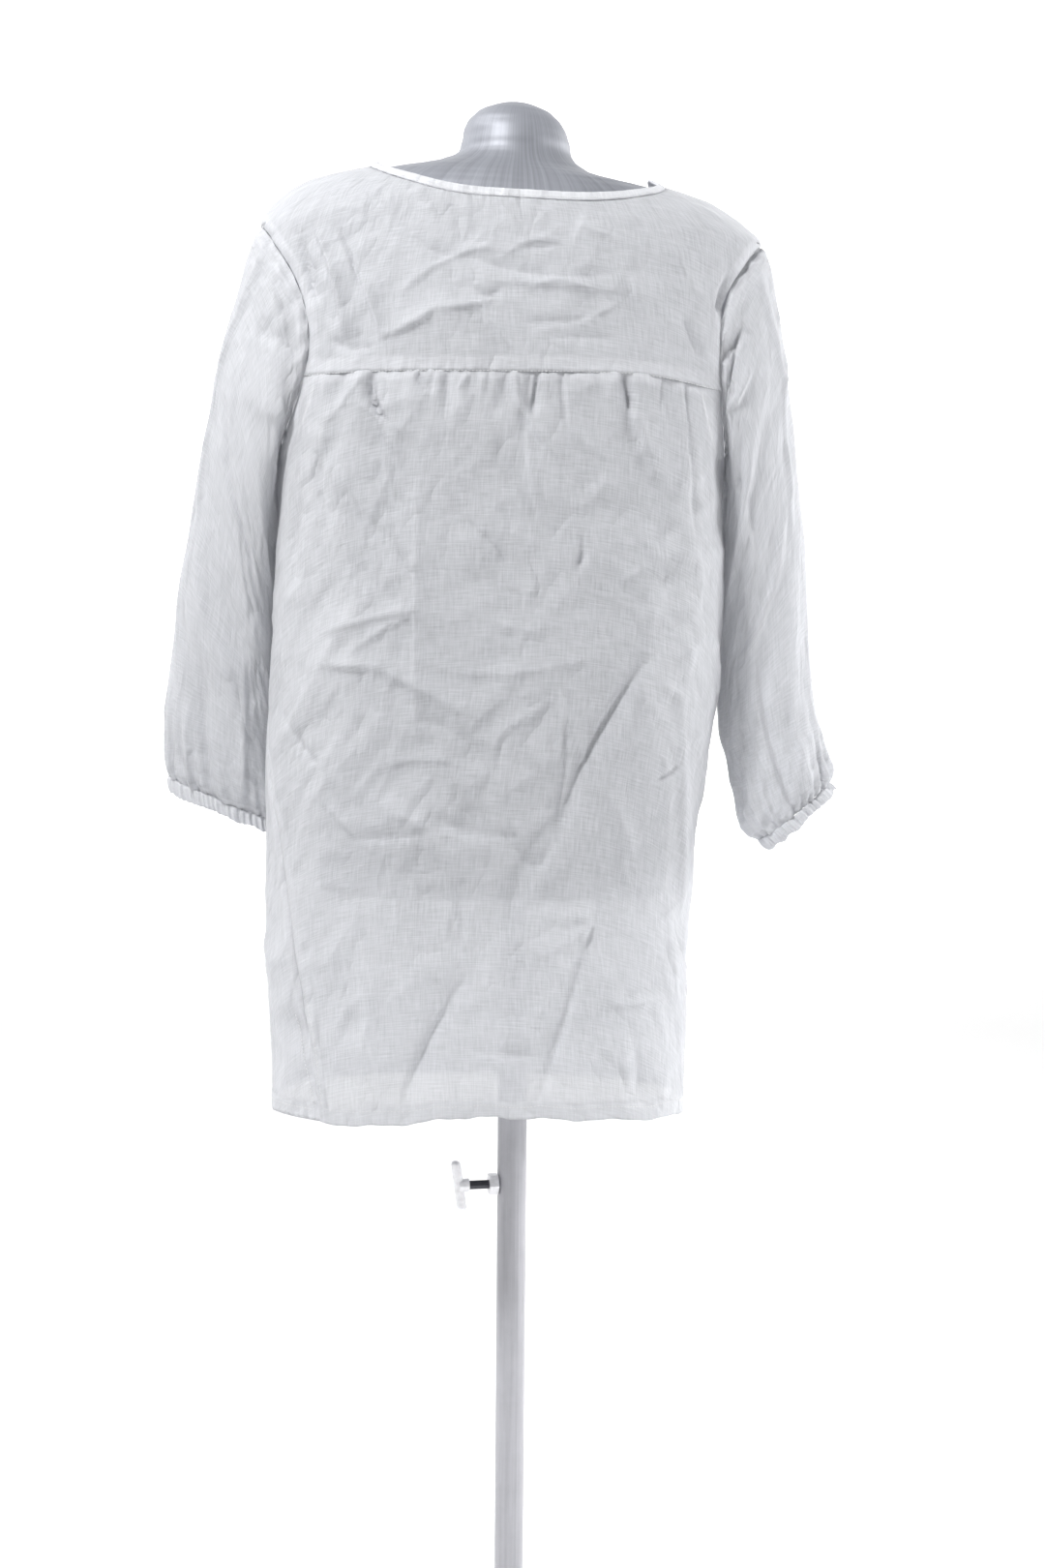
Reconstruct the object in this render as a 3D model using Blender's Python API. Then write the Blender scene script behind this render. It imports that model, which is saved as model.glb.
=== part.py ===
"""Linen tunic blouse on a limbless dress form with a height-adjustable tube stand.

Metres, +Z up. The origin is on the floor at the axis of the pole. The back of the blouse faces
-Y and +X is its right-hand side as seen from behind. Angles round the body start at the centre
back and grow towards +X, so 90 degrees is the right side and 180 degrees the centre front.
"""

import math

import bmesh
import bpy
import numpy as np

# Cloth, in layers of one thickness
CLOTH = 0.0015
SEAM_GAP = 0.0003
BINDING_WIDTH = 0.0068
BINDING_THICKNESS = 0.0026
BINDING_GAP = 0.0003
BINDING_EDGE = 0.62
CUFF_THICKNESS = 0.0034
CUFF_EDGE = 0.55
HEM_DEPTH = 0.014
HEM_THICKNESS = 0.0021

# Levels of the blouse, before the tilt of the shoulders
NECK_POINT = 1.4708
SHOULDER_TIP = 1.4178
YOKE_SEAM = 1.2915
UNDERARM = 1.2220
BACK_NECK_DROP = 0.0325
FRONT_NECK_DROP = 0.0830
NECK_CURVE, SEAM_CURVE = 4.5, 14.0
NECK_SHIFT = 0.09
YOKE_DROP = {-1: 0.0015, 1: 0.0095}
ARMHOLE_BACK = {-1: 0.079, 1: 0.067}
ARMHOLE_FRONT = 0.074
ARMHOLE_ROUNDNESS = 0.9

# Rings of the blouse, by the middle of the cloth: squareness 2 is an ellipse
RING_COLUMNS = ("height", "centre_x", "half_width", "back_depth", "front_depth", "squareness", "tilt")
BLOUSE_RINGS = (
    (0.630, -0.0300, 0.1842, 0.130, 0.120, 2.60, 0.0),
    (0.768, -0.0338, 0.1862, 0.127, 0.119, 2.60, 0.0),
    (0.820, -0.0344, 0.1870, 0.126, 0.119, 2.60, 0.0),
    (0.900, -0.0308, 0.1910, 0.124, 0.119, 2.60, 0.0),
    (1.030, -0.0184, 0.1986, 0.122, 0.121, 2.60, 0.0),
    (1.200, -0.0155, 0.1950, 0.122, 0.129, 2.60, 0.0),
    (1.300, -0.0100, 0.2030, 0.118, 0.118, 2.50, 0.0),
    (1.350, -0.0105, 0.2105, 0.114, 0.108, 2.40, 0.3),
    (1.375, -0.0110, 0.2150, 0.110, 0.102, 2.35, 0.7),
    (1.400, -0.0095, 0.2195, 0.105, 0.096, 2.30, 1.2),
    (1.4178, -0.0077, 0.2196, 0.101, 0.092, 2.25, 1.7),
    (1.4297, -0.0088, 0.2111, 0.098, 0.089, 2.20, 2.1),
    (1.4397, -0.0096, 0.2004, 0.095, 0.086, 2.20, 2.5),
    (1.4479, -0.0093, 0.1881, 0.092, 0.083, 2.15, 2.8),
    (1.4544, -0.0087, 0.1749, 0.089, 0.081, 2.15, 2.9),
    (1.4631, -0.0077, 0.1466, 0.084, 0.077, 2.10, 3.0),
    (1.4674, -0.0070, 0.1324, 0.081, 0.074, 2.10, 3.0),
    (1.4736, -0.0061, 0.1191, 0.077, 0.070, 2.10, 3.0),
    (1.4800, -0.0055, 0.1060, 0.073, 0.066, 2.10, 3.0),
)

# Side seams, in degrees from the centre back; the skirt is twisted round a little, so the left
# seam lies on the back
SEAM_COLUMNS = ("height", "left", "right")
SIDE_SEAMS = (
    (0.630, 51.5, 90.0),
    (0.750, 57.5, 90.0),
    (0.890, 68.0, 90.0),
    (1.030, 88.0, 90.0),
    (1.222, 90.0, 90.0),
)

# Vents: how far each edge leaves the line of its side seam, in degrees
VENT_COLUMNS = ("height", "left_back", "left_front", "right_back", "right_front")
VENTS = (
    (0.630, 0.5, -2.0, 6.0, 5.0),
    (0.692, 0.4, -0.6, 2.2, 2.2),
    (0.722, 0.4, 0.6, 0.8, 0.8),
    (0.750, 0.0, 0.0, 0.0, 0.0),
)
VENT_TUCK = 0.0065
VENT_TUCK_ANGLE = 22.0
VENT_TUCK_RISE = 0.03
VENT_TOP = 0.750

# Hem of the back, by angle from the centre back
HEM_COLUMNS = ("angle", "height")
BACK_HEM = (
    (-90.0, 0.6400),
    (-52.0, 0.6480),
    (-38.0, 0.6490),
    (0.0, 0.6595),
    (38.0, 0.6560),
    (60.0, 0.6510),
    (90.0, 0.6445),
)
HEM_LEVEL = 0.6550
HEM_CORNER_LIFT, HEM_CORNER_SHARE = 0.006, 0.06
FRONT_HEM = 0.6470

# Rows of the shoulders at their seam, and of both panels below the underarm at the side seams
PANEL_ROWS = (1.190, 1.155, 1.115, 1.075, 1.030, 0.985, 0.940, 0.895, 0.850, 0.800, 0.750,
              0.722, 0.692)
SHOULDER_ROWS = (1.4708, 1.4640, 1.4530, 1.4400, 1.4290)
YOKE_ARMHOLE_STEPS = 6
PANEL_ARMHOLE_STEPS = 5
ARMHOLE_STEPS = YOKE_ARMHOLE_STEPS + PANEL_ARMHOLE_STEPS
FRONT_COLUMNS = 18
COLUMN_STEP = 0.012

# Gathers under the yoke seam: place and drift across, length down, half width and depth
GATHER_COLUMNS = ("across", "drift", "length", "half_width", "depth")
GATHERS = (
    (-0.1484, -0.010, 0.085, 0.0060, 0.0045),
    (-0.1232, 0.020, 0.110, 0.0060, 0.0050),
    (-0.0770, 0.004, 0.040, 0.0055, 0.0040),
    (-0.0600, -0.002, 0.060, 0.0055, 0.0040),
    (-0.0113, 0.000, 0.050, 0.0055, 0.0045),
    (0.0057, 0.006, 0.115, 0.0060, 0.0055),
    (0.0382, 0.004, 0.060, 0.0060, 0.0045),
    (0.0682, 0.000, 0.040, 0.0055, 0.0035),
    (0.0868, 0.022, 0.105, 0.0060, 0.0055),
    (0.1258, 0.002, 0.080, 0.0055, 0.0035),
)
GATHER_WIDEN = 0.9
GATHER_PUFF = 0.0028
GATHER_PUFF_LENGTH = 0.130
GATHERED_CENTRE, GATHERED_HALF_WIDTH, GATHERED_FADE = -0.008, 0.185, 0.03
SEAM_HOLD, SEAM_HOLD_LENGTH = 0.3, 0.006
SIDE_FOLD = 0.1400

# Large folds, each a curve through three places; a negative depth is a trough. They fade out
# towards the seams, by lengths in metres or by shares of the piece's half width
FOLD_END = 0.06
YOKE_FADE, PANEL_FADE = 0.02, 0.03
BACK_SIDE_FADE, FRONT_SIDE_FADE = 0.12, 0.2
FRONT_FOLD_TOP, FRONT_FOLD_FADE = 1.360, 0.05
FOLD_COLUMNS = ("x1", "z1", "x2", "z2", "x3", "z3", "half_width", "depth")
BACK_FOLDS = (
    (0.1384, 1.1128, 0.0640, 0.9720, -0.0321, 0.8041, 0.012, -0.0045),
    (-0.0250, 0.8150, -0.0600, 0.7450, -0.0917, 0.6681, 0.015, -0.0040),
    (0.1500, 1.0900, 0.0880, 0.9650, 0.0050, 0.8200, 0.015, 0.0035),
    (0.0794, 0.8548, 0.0400, 0.7400, 0.0186, 0.6690, 0.013, -0.0035),
    (0.1395, 1.2800, 0.1415, 1.1600, 0.1460, 1.0100, 0.010, 0.0045),
    (-0.0853, 1.1958, -0.0840, 1.0860, -0.0841, 0.9763, 0.013, 0.0025),
    (-0.0248, 1.2527, 0.0050, 1.1950, 0.0304, 1.1548, 0.010, -0.0030),
    (-0.1743, 1.0442, -0.1250, 1.0440, -0.0828, 1.0270, 0.012, 0.0030),
    (-0.2050, 1.0300, -0.1930, 0.9350, -0.1880, 0.8400, 0.015, -0.0035),
    (-0.1250, 0.9350, -0.0700, 0.9050, -0.0165, 0.8900, 0.014, 0.0025),
)
YOKE_FOLDS = (
    (-0.1950, 1.3980, -0.1780, 1.3650, -0.1660, 1.3250, 0.010, 0.0025),
    (-0.1150, 1.3199, -0.0642, 1.3420, -0.0223, 1.3470, 0.010, 0.0020),
    (0.0200, 1.3700, 0.0700, 1.3600, 0.1200, 1.3620, 0.011, 0.0015),
)
FRONT_FOLDS = (
    (-0.0700, 1.2900, -0.0900, 1.0900, -0.1050, 0.8200, 0.016, -0.0040),
    (0.0300, 1.2400, 0.0450, 1.0000, 0.0350, 0.6800, 0.018, -0.0040),
    (-0.0200, 1.1500, -0.0300, 0.9000, -0.0350, 0.6600, 0.018, 0.0035),
    (0.1150, 1.2700, 0.1150, 1.0500, 0.1000, 0.8600, 0.015, -0.0035),
    (-0.1500, 1.1800, -0.1450, 0.9500, -0.1500, 0.7000, 0.016, 0.0030),
)

# Sleeves: a section from its outer to its inner point, with its middle and depth along Y
SLEEVE_COLUMNS = ("outer_x", "outer_z", "inner_x", "inner_z", "middle_y", "back_depth", "front_depth",
                  "squareness")
SLEEVES = {
    -1: (
        (-0.2273, 1.4242, -0.2110, 1.2220, 0.000, 0.079, 0.074, 2.05),
        (-0.2330, 1.4135, -0.2165, 1.2150, 0.000, 0.079, 0.075, 2.10),
        (-0.2390, 1.3980, -0.2168, 1.2000, 0.001, 0.078, 0.075, 2.20),
        (-0.2485, 1.3680, -0.2165, 1.1780, 0.008, 0.076, 0.073, 2.40),
        (-0.2600, 1.3300, -0.2172, 1.1480, 0.016, 0.073, 0.070, 2.50),
        (-0.2696, 1.2850, -0.2180, 1.1150, 0.024, 0.069, 0.066, 2.50),
        (-0.2812, 1.2350, -0.2185, 1.0800, 0.032, 0.064, 0.062, 2.50),
        (-0.2920, 1.1750, -0.2190, 1.0440, 0.040, 0.059, 0.057, 2.50),
        (-0.3047, 1.1100, -0.2180, 1.0080, 0.048, 0.053, 0.052, 2.45),
        (-0.3146, 1.0430, -0.2170, 0.9700, 0.057, 0.047, 0.047, 2.40),
        (-0.3239, 0.9900, -0.2160, 0.9350, 0.067, 0.042, 0.043, 2.35),
        (-0.3243, 0.9600, -0.2150, 0.9120, 0.073, 0.037, 0.038, 2.30),
        (-0.3213, 0.9340, -0.2135, 0.8905, 0.075, 0.030, 0.031, 2.25),
    ),
    1: (
        (0.2118, 1.4114, 0.1800, 1.2220, 0.000, 0.067, 0.074, 2.05),
        (0.2162, 1.4060, 0.1850, 1.2150, 0.000, 0.067, 0.075, 2.10),
        (0.2208, 1.3940, 0.1850, 1.2000, 0.000, 0.067, 0.075, 2.20),
        (0.2260, 1.3680, 0.1845, 1.1780, 0.006, 0.068, 0.073, 2.30),
        (0.2323, 1.3350, 0.1845, 1.1480, 0.014, 0.069, 0.070, 2.40),
        (0.2386, 1.2950, 0.1848, 1.1150, 0.022, 0.069, 0.067, 2.40),
        (0.2450, 1.2450, 0.1848, 1.0800, 0.028, 0.066, 0.063, 2.40),
        (0.2515, 1.1900, 0.1838, 1.0480, 0.030, 0.062, 0.059, 2.40),
        (0.2602, 1.1250, 0.1830, 1.0200, 0.030, 0.057, 0.055, 2.40),
        (0.2657, 1.0500, 0.1850, 0.9850, 0.026, 0.053, 0.051, 2.35),
        (0.2705, 1.0000, 0.1925, 0.9560, 0.020, 0.049, 0.048, 2.30),
        (0.2775, 0.9754, 0.1985, 0.9290, 0.012, 0.046, 0.047, 2.30),
        (0.2830, 0.9550, 0.2070, 0.8990, 0.006, 0.043, 0.044, 2.25),
        (0.2800, 0.9395, 0.2195, 0.8875, 0.003, 0.038, 0.040, 2.20),
    ),
}
SLEEVE_BLEND = 5
SLEEVE_FINE_FROM = 8
CUFF_ENDS = {
    -1: (-0.3190, 0.9190, -0.2120, 0.8780, 0.075, 0.029, 0.030, 2.20),
    1: (0.2862, 0.9335, 0.2285, 0.8785, 0.003, 0.039, 0.041, 2.20),
}
CUFF_WAVE = 0.0012
SLEEVE_WAVE = 0.0020
MITRE_LEAST = 0.45

# Rings of the dress form, by its outside
FORM_RINGS = (
    (0.842, -0.0200, 0.1560, 0.104, 0.098, 2.30, 0.0),
    (0.858, -0.0200, 0.1560, 0.104, 0.098, 2.30, 0.0),
    (0.925, -0.0185, 0.1570, 0.106, 0.100, 2.30, 0.0),
    (1.030, -0.0130, 0.1290, 0.090, 0.090, 2.20, 0.0),
    (1.090, -0.0115, 0.1330, 0.094, 0.098, 2.20, 0.0),
    (1.180, -0.0095, 0.1510, 0.106, 0.114, 2.20, 0.0),
    (1.300, -0.0090, 0.1760, 0.109, 0.102, 2.20, 0.0),
    (1.360, -0.0100, 0.1930, 0.104, 0.092, 2.20, 0.4),
    (1.400, -0.0095, 0.2050, 0.098, 0.085, 2.15, 1.2),
    (1.4188, -0.0077, 0.2110, 0.095, 0.081, 2.10, 1.7),
    (1.4295, -0.0088, 0.2060, 0.0925, 0.079, 2.10, 2.1),
    (1.4396, -0.0096, 0.1950, 0.0895, 0.0765, 2.10, 2.5),
    (1.4476, -0.0093, 0.1820, 0.086, 0.0735, 2.05, 2.8),
    (1.4539, -0.0087, 0.1680, 0.082, 0.0705, 2.05, 2.9),
    (1.4606, -0.0080, 0.1450, 0.077, 0.067, 2.00, 3.1),
    (1.4660, -0.0075, 0.1220, 0.072, 0.063, 2.00, 3.4),
    (1.4702, -0.0068, 0.0980, 0.067, 0.060, 2.00, 3.9),
    (1.4748, -0.0066, 0.0765, 0.061, 0.057, 2.00, 4.1),
    (1.4812, -0.0060, 0.0600, 0.055, 0.054, 2.00, 3.4),
    (1.4890, -0.0048, 0.0500, 0.051, 0.052, 2.00, 2.0),
    (1.5000, -0.0043, 0.0472, 0.049, 0.050, 2.00, 1.0),
    (1.5110, -0.0052, 0.0442, 0.045, 0.047, 2.00, 1.0),
    (1.5200, -0.0058, 0.0382, 0.039, 0.041, 2.00, 1.0),
    (1.5275, -0.0058, 0.0285, 0.029, 0.030, 2.00, 1.5),
    (1.5325, -0.0045, 0.0150, 0.016, 0.016, 2.00, 2.0),
)
FORM_TOP = (-0.0035, 0.0, 1.5343)
FORM_WALL = 0.003
FORM_COLUMNS = 26

# Stand: the tubes, their clamp and the foot
TUBE_SIDES = 24
POLE_RADIUS = 0.0132
POLE_BORE = 0.0112
MAST_RADIUS = 0.0108
MAST_BORE = 0.0093
POLE_TOP = 0.700
MAST_BOTTOM, MAST_TOP = 0.250, 0.905
FLANGE_RADIUS = 0.045
FLANGE_THICKNESS = 0.005
PLATE_THICKNESS = 0.006
PLATE_BOTTOM = 0.846
CLAMP_HEIGHT = 0.570
CLAMP_TURN = math.radians(12.0)
CLAMP_SIDES = 16
NUT_FLATS = 0.0175
NUT_THICKNESS = 0.0080
NUT_SIDES = 24
SCREW_RADIUS = 0.0040
SCREW_CHAMFER = 0.0008
SCREW_END = 0.0440
HANDLE_CENTRE = 0.0492
HANDLE_LENGTH = 0.046
HANDLE_RADIUS = 0.0046
HANDLE_LEAN = math.radians(8.0)
HANDLE_COLUMNS = ("share_up", "thickness")
HANDLE_PROFILE = ((-1.0, 0.45), (-0.95, 0.8), (-0.87, 1.0), (0.87, 1.0), (0.95, 0.8), (1.0, 0.45))
HUB_RADIUS, HUB_START, HUB_FLOOR = 0.0062, 0.0400, 0.0443
CUT_EXTRA = 0.001
BASE_SIDE = 0.340
BASE_THICKNESS = 0.006
BASE_CORNER = 0.040
BASE_CORNER_STEPS = 6
BASE_EDGE = 0.001
SOCKET_RADIUS, SOCKET_HEIGHT = 0.019, 0.040

# Finishes: colour, roughness and metallic value
FINISHES = {
    "linen": ((0.66, 0.66, 0.68), 0.85, 0.0),
    "form_grey": ((0.30, 0.30, 0.32), 0.38, 0.0),
    "pole_paint": ((0.48, 0.48, 0.51), 0.45, 0.0),
    "bright_steel": ((0.78, 0.78, 0.80), 0.30, 1.0),
    "dark_steel": ((0.10, 0.10, 0.12), 0.40, 1.0),
    "bottom_board": ((0.20, 0.20, 0.21), 0.60, 0.0),
}


def column(names, rows, name):
    """One named column of a table."""
    return np.array([row[names.index(name)] for row in rows], float)


def smooth_value(knots, values, at):
    """Read a table smoothly between its rows, with no overshoot."""
    step = np.diff(knots)
    secant = np.diff(values) / step
    slope = np.empty(len(knots))
    slope[0], slope[-1] = secant[0], secant[-1]
    product = secant[:-1] * secant[1:]
    total = np.where(product > 0, secant[:-1] + secant[1:], 1.0)
    slope[1:-1] = np.where(product > 0, 2 * product / total, 0.0)
    at = np.clip(np.asarray(at, float), knots[0], knots[-1])
    cell = np.clip(np.searchsorted(knots, at) - 1, 0, len(step) - 1)
    t = (at - knots[cell]) / step[cell]
    before = values[cell] + t * step[cell] * slope[cell] * (1 - t)
    after = values[cell + 1] - (1 - t) * step[cell] * slope[cell + 1] * t
    weight = t * t * (3 - 2 * t)
    return before * (1 - weight) + after * weight


def smooth_step(value):
    """0 below 0, 1 above 1, and a smooth rise between."""
    value = np.clip(value, 0.0, 1.0)
    return value * value * (3 - 2 * value)


def unit(vectors):
    """The vectors at length one."""
    return vectors / np.maximum(np.linalg.norm(vectors, axis=-1, keepdims=True), 1e-12)


class RingBody:
    """A closed round surface, read from a table of rings."""

    def __init__(self, rows):
        self.knots = column(RING_COLUMNS, rows, "height")
        self.columns = {name: column(RING_COLUMNS, rows, name) for name in RING_COLUMNS}

    def read(self, name, height):
        return smooth_value(self.knots, self.columns[name], height)

    def point(self, angle, height):
        """Points at angles in degrees and ring heights, which have the same shape."""
        sine, cosine = np.sin(np.radians(angle)), np.cos(np.radians(angle))
        depth = np.where(cosine > 0, self.read("back_depth", height), self.read("front_depth", height))
        power = self.read("squareness", height)
        half_width = self.read("half_width", height)
        reach = (np.abs(cosine) / depth) ** power + (np.abs(sine) / half_width) ** power
        radius = reach ** (-1 / power)
        across = radius * sine
        tilt = np.radians(self.read("tilt", height))
        x = self.read("centre_x", height) + across * np.cos(tilt)
        return np.stack([x, -radius * cosine, height - across * np.sin(tilt)], axis=-1)

    def normal(self, angle, height):
        """Outward directions at the same places."""
        turn, rise = 0.2, 0.0005
        along = self.point(angle + turn, height) - self.point(angle - turn, height)
        up = self.point(angle, height + rise) - self.point(angle, height - rise)
        return unit(np.cross(along, up))

    def angle_at_depth(self, half, depth, height):
        """Degrees from the centre line of that half where the ring is this far from its middle."""
        full = self.read(half + "_depth", height)
        power = self.read("squareness", height)
        inside = np.maximum(1 - (depth / full) ** power, 0.0)
        across = self.read("half_width", height) * inside ** (1 / power)
        return np.degrees(np.arctan2(across, depth))


BLOUSE = RingBody(BLOUSE_RINGS)
FORM = RingBody(FORM_RINGS)


def fold_path(row, count=14):
    """Points in X and Z along a fold's curve."""
    fold = dict(zip(FOLD_COLUMNS, row))
    t = np.linspace(0, 1, count)[:, None]
    start = np.array([fold["x1"], fold["z1"]])
    middle = np.array([fold["x2"], fold["z2"]])
    end = np.array([fold["x3"], fold["z3"]])
    control = 2 * middle - (start + end) / 2
    return (1 - t) ** 2 * start + 2 * t * (1 - t) * control + t * t * end


def fold_offset(points, folds):
    """How far the folds move the cloth outward at the points."""
    offset = np.zeros(points.shape[:-1])
    flat = points[..., [0, 2]]
    for row in folds:
        path = fold_path(row)
        away = np.linalg.norm(flat[..., None, :] - path, axis=-1)
        nearest = away.argmin(axis=-1) / (len(path) - 1)
        taper = np.sqrt(np.clip(4 * nearest * (1 - nearest), FOLD_END, 1))
        half_width, depth = row[-2], row[-1]
        offset += depth * taper * np.exp(-(away.min(axis=-1) / half_width) ** 2)
    return offset


def gather_offset(points, below_seam):
    """Tucks and puffs under the yoke seam, which fade down the panel."""
    across = points[..., 0]
    puff = GATHER_PUFF * (1 - smooth_step(below_seam / GATHER_PUFF_LENGTH))
    inside = GATHERED_HALF_WIDTH - np.abs(across - GATHERED_CENTRE)
    offset = puff * smooth_step(inside / GATHERED_FADE)
    for row in GATHERS:
        gather = dict(zip(GATHER_COLUMNS, row))
        share = below_seam / gather["length"]
        centre = gather["across"] + gather["drift"] * share
        widen = gather["half_width"] * (1 + GATHER_WIDEN * np.clip(share, 0, 1))
        fade = 1 - smooth_step(share)
        offset -= gather["depth"] * fade * np.exp(-((across - centre) / widen) ** 2)
    held = SEAM_HOLD + (1 - SEAM_HOLD) * smooth_step(below_seam / SEAM_HOLD_LENGTH)
    return offset * held


def seam_step(tangent, normal, towards):
    """Half a seam gap, in the cloth's surface and square to the seam."""
    square = unit(np.cross(normal, tangent))
    return square * np.sign(np.sum(square * towards, axis=-1, keepdims=True)) * SEAM_GAP / 2


def around(loop):
    """Directions along a closed loop of points."""
    return np.roll(loop, -1, axis=0) - np.roll(loop, 1, axis=0)


class Armhole:
    """The seam round one armhole, from the shoulder tip down the back and up the front."""

    def __init__(self, side):
        self.side = side
        height = YOKE_SEAM - YOKE_DROP[side]
        middle, half = (SHOULDER_TIP + UNDERARM) / 2, (SHOULDER_TIP - UNDERARM) / 2
        seam_swing = math.acos((height - middle) / half)
        back = np.concatenate([np.linspace(0, seam_swing, YOKE_ARMHOLE_STEPS + 1),
                               np.linspace(seam_swing, math.pi, PANEL_ARMHOLE_STEPS + 1)[1:]])
        front = np.linspace(math.pi, 2 * math.pi, ARMHOLE_STEPS + 1)[1:-1]
        coarse = np.concatenate([back, front])
        after = np.append(coarse[1:], 2 * math.pi)
        self.swing = np.stack([coarse, (coarse + after) / 2], axis=-1).ravel()
        self.height = middle + half * np.cos(self.swing)
        depth_share = np.abs(np.sin(self.swing)) ** ARMHOLE_ROUNDNESS
        back_angle = BLOUSE.angle_at_depth("back", ARMHOLE_BACK[side] * depth_share, self.height)
        front_angle = 180 - BLOUSE.angle_at_depth("front", ARMHOLE_FRONT * depth_share, self.height)
        self.angle = side * np.where(self.swing <= math.pi, back_angle, front_angle)
        self.loop = BLOUSE.point(self.angle, self.height)
        self.body_normal = BLOUSE.normal(self.angle, self.height)
        self.rings = self.sleeve_rings()
        self.normals = self.sleeve_normals()
        self.mitre()

    def section(self, row):
        """One sleeve section at every swing: the outer point is at swing 0."""
        size = dict(zip(SLEEVE_COLUMNS, row))
        outer = np.array([size["outer_x"], 0, size["outer_z"]])
        inner = np.array([size["inner_x"], 0, size["inner_z"]])
        cosine, sine = np.cos(self.swing), np.sin(self.swing)
        power = 2 / size["squareness"]
        along = np.sign(cosine) * np.abs(cosine) ** power
        depth = np.where(sine > 0, size["back_depth"], size["front_depth"])
        points = (outer + inner) / 2 + along[:, None] * (outer - inner) / 2
        points[:, 1] = size["middle_y"] - depth * np.sign(sine) * np.abs(sine) ** power
        return points

    def sleeve_rings(self):
        """Rings from the armhole seam to the cuff seam, blended from the seam's own shape."""
        sections = [self.section(row) for row in SLEEVES[self.side]]
        rings = []
        for number, points in enumerate(sections):
            seam_share = 1 - smooth_step(number / SLEEVE_BLEND)
            ring = points + seam_share * (self.loop - sections[0])
            rings.append(ring)
        rings = np.array(rings)
        wave = np.where(np.arange(len(self.swing)) % 2 == 0, 1.0, -1.0)[:, None]
        centres = rings.mean(axis=1, keepdims=True)
        for number, share in ((-2, 0.5), (-1, 1.0)):
            rings[number] += unit(rings[number] - centres[number]) * wave * SLEEVE_WAVE * share
        return rings

    def sleeve_normals(self):
        """Outward directions of the sleeve's rings."""
        tangent = np.roll(self.rings, -2, axis=1) - np.roll(self.rings, 2, axis=1)
        normals = unit(np.cross(tangent, np.gradient(self.rings, axis=0)))
        outward = self.rings - self.rings.mean(axis=1, keepdims=True)
        flip = np.sign(np.sum(normals * outward, axis=-1).mean())
        return normals * flip

    def mitre(self):
        """One shared direction along the seam, so that body and sleeve end face to face."""
        both = self.body_normal + self.normals[0]
        self.shared = unit(both)
        cosine = np.maximum(np.sum(self.shared * self.body_normal, axis=-1), MITRE_LEAST)
        self.reach = CLOTH / 2 / cosine
        self.pull = seam_step(around(self.loop), self.shared, self.rings[1] - self.loop)
        last = self.rings[-1]
        self.cuff_pull = seam_step(around(last), self.normals[-1], last - self.rings[-2])

    def torso_vertices(self, half):
        """The seam's places for a torso piece, from the shoulder tip down to the underarm."""
        count = len(self.swing)
        if half == "back":
            return np.arange(0, 2 * ARMHOLE_STEPS + 1, 2)
        return (count - np.arange(0, 2 * ARMHOLE_STEPS + 1, 2)) % count


def new_material(name):
    """A plain material with the finish's colour, roughness and metallic value."""
    colour, roughness, metallic = FINISHES[name]
    material = bpy.data.materials.get(name) or bpy.data.materials.new(name)
    material.use_nodes = True
    shader = material.node_tree.nodes["Principled BSDF"]
    shader.inputs["Base Color"].default_value = (*colour, 1.0)
    shader.inputs["Roughness"].default_value = roughness
    shader.inputs["Metallic"].default_value = metallic
    return material


def add_object(name, shape, finish, parent=None, sharp_angle=35.0):
    """Turn a closed bmesh into a named object, faces out and smooth where round."""
    bmesh.ops.recalc_face_normals(shape, faces=shape.faces)
    mesh = bpy.data.meshes.new(name)
    shape.to_mesh(mesh)
    shape.free()
    mesh.shade_smooth()
    mesh.set_sharp_from_angle(angle=math.radians(sharp_angle))
    mesh.materials.append(new_material(finish))
    item = bpy.data.objects.new(name, mesh)
    item.parent = parent
    bpy.context.collection.objects.link(item)
    return item


def join_rows(shape, first, second, closed):
    """Triangles between two rows of vertices; the second row may have twice as many."""
    count = len(first) if closed else len(first) - 1
    for place in range(count):
        a, b = first[place], first[(place + 1) % len(first)]
        if len(second) == len(first):
            c, d = second[(place + 1) % len(second)], second[place]
            shape.faces.new((a, b, c))
            shape.faces.new((a, c, d))
        else:
            left, middle = second[2 * place], second[2 * place + 1]
            right = second[(2 * place + 2) % len(second)]
            shape.faces.new((a, middle, left))
            shape.faces.new((a, b, middle))
            shape.faces.new((b, right, middle))


def wall(name, outer, inner, finish, closed, parent=None):
    """A wall between two matching sets of rows, with its rims."""
    shape = bmesh.new()
    outer_rows = [[shape.verts.new(point) for point in row] for row in outer]
    inner_rows = [[shape.verts.new(point) for point in row] for row in inner]
    for rows in (outer_rows, inner_rows):
        for first, second in zip(rows, rows[1:]):
            join_rows(shape, first, second, closed)
    join_rows(shape, outer_rows[0], inner_rows[0], closed)
    join_rows(shape, outer_rows[-1], inner_rows[-1], closed)
    if not closed:
        for end in (0, -1):
            join_rows(shape, [row[end] for row in outer_rows], [row[end] for row in inner_rows], False)
    return add_object(name, shape, finish, parent)


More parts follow.
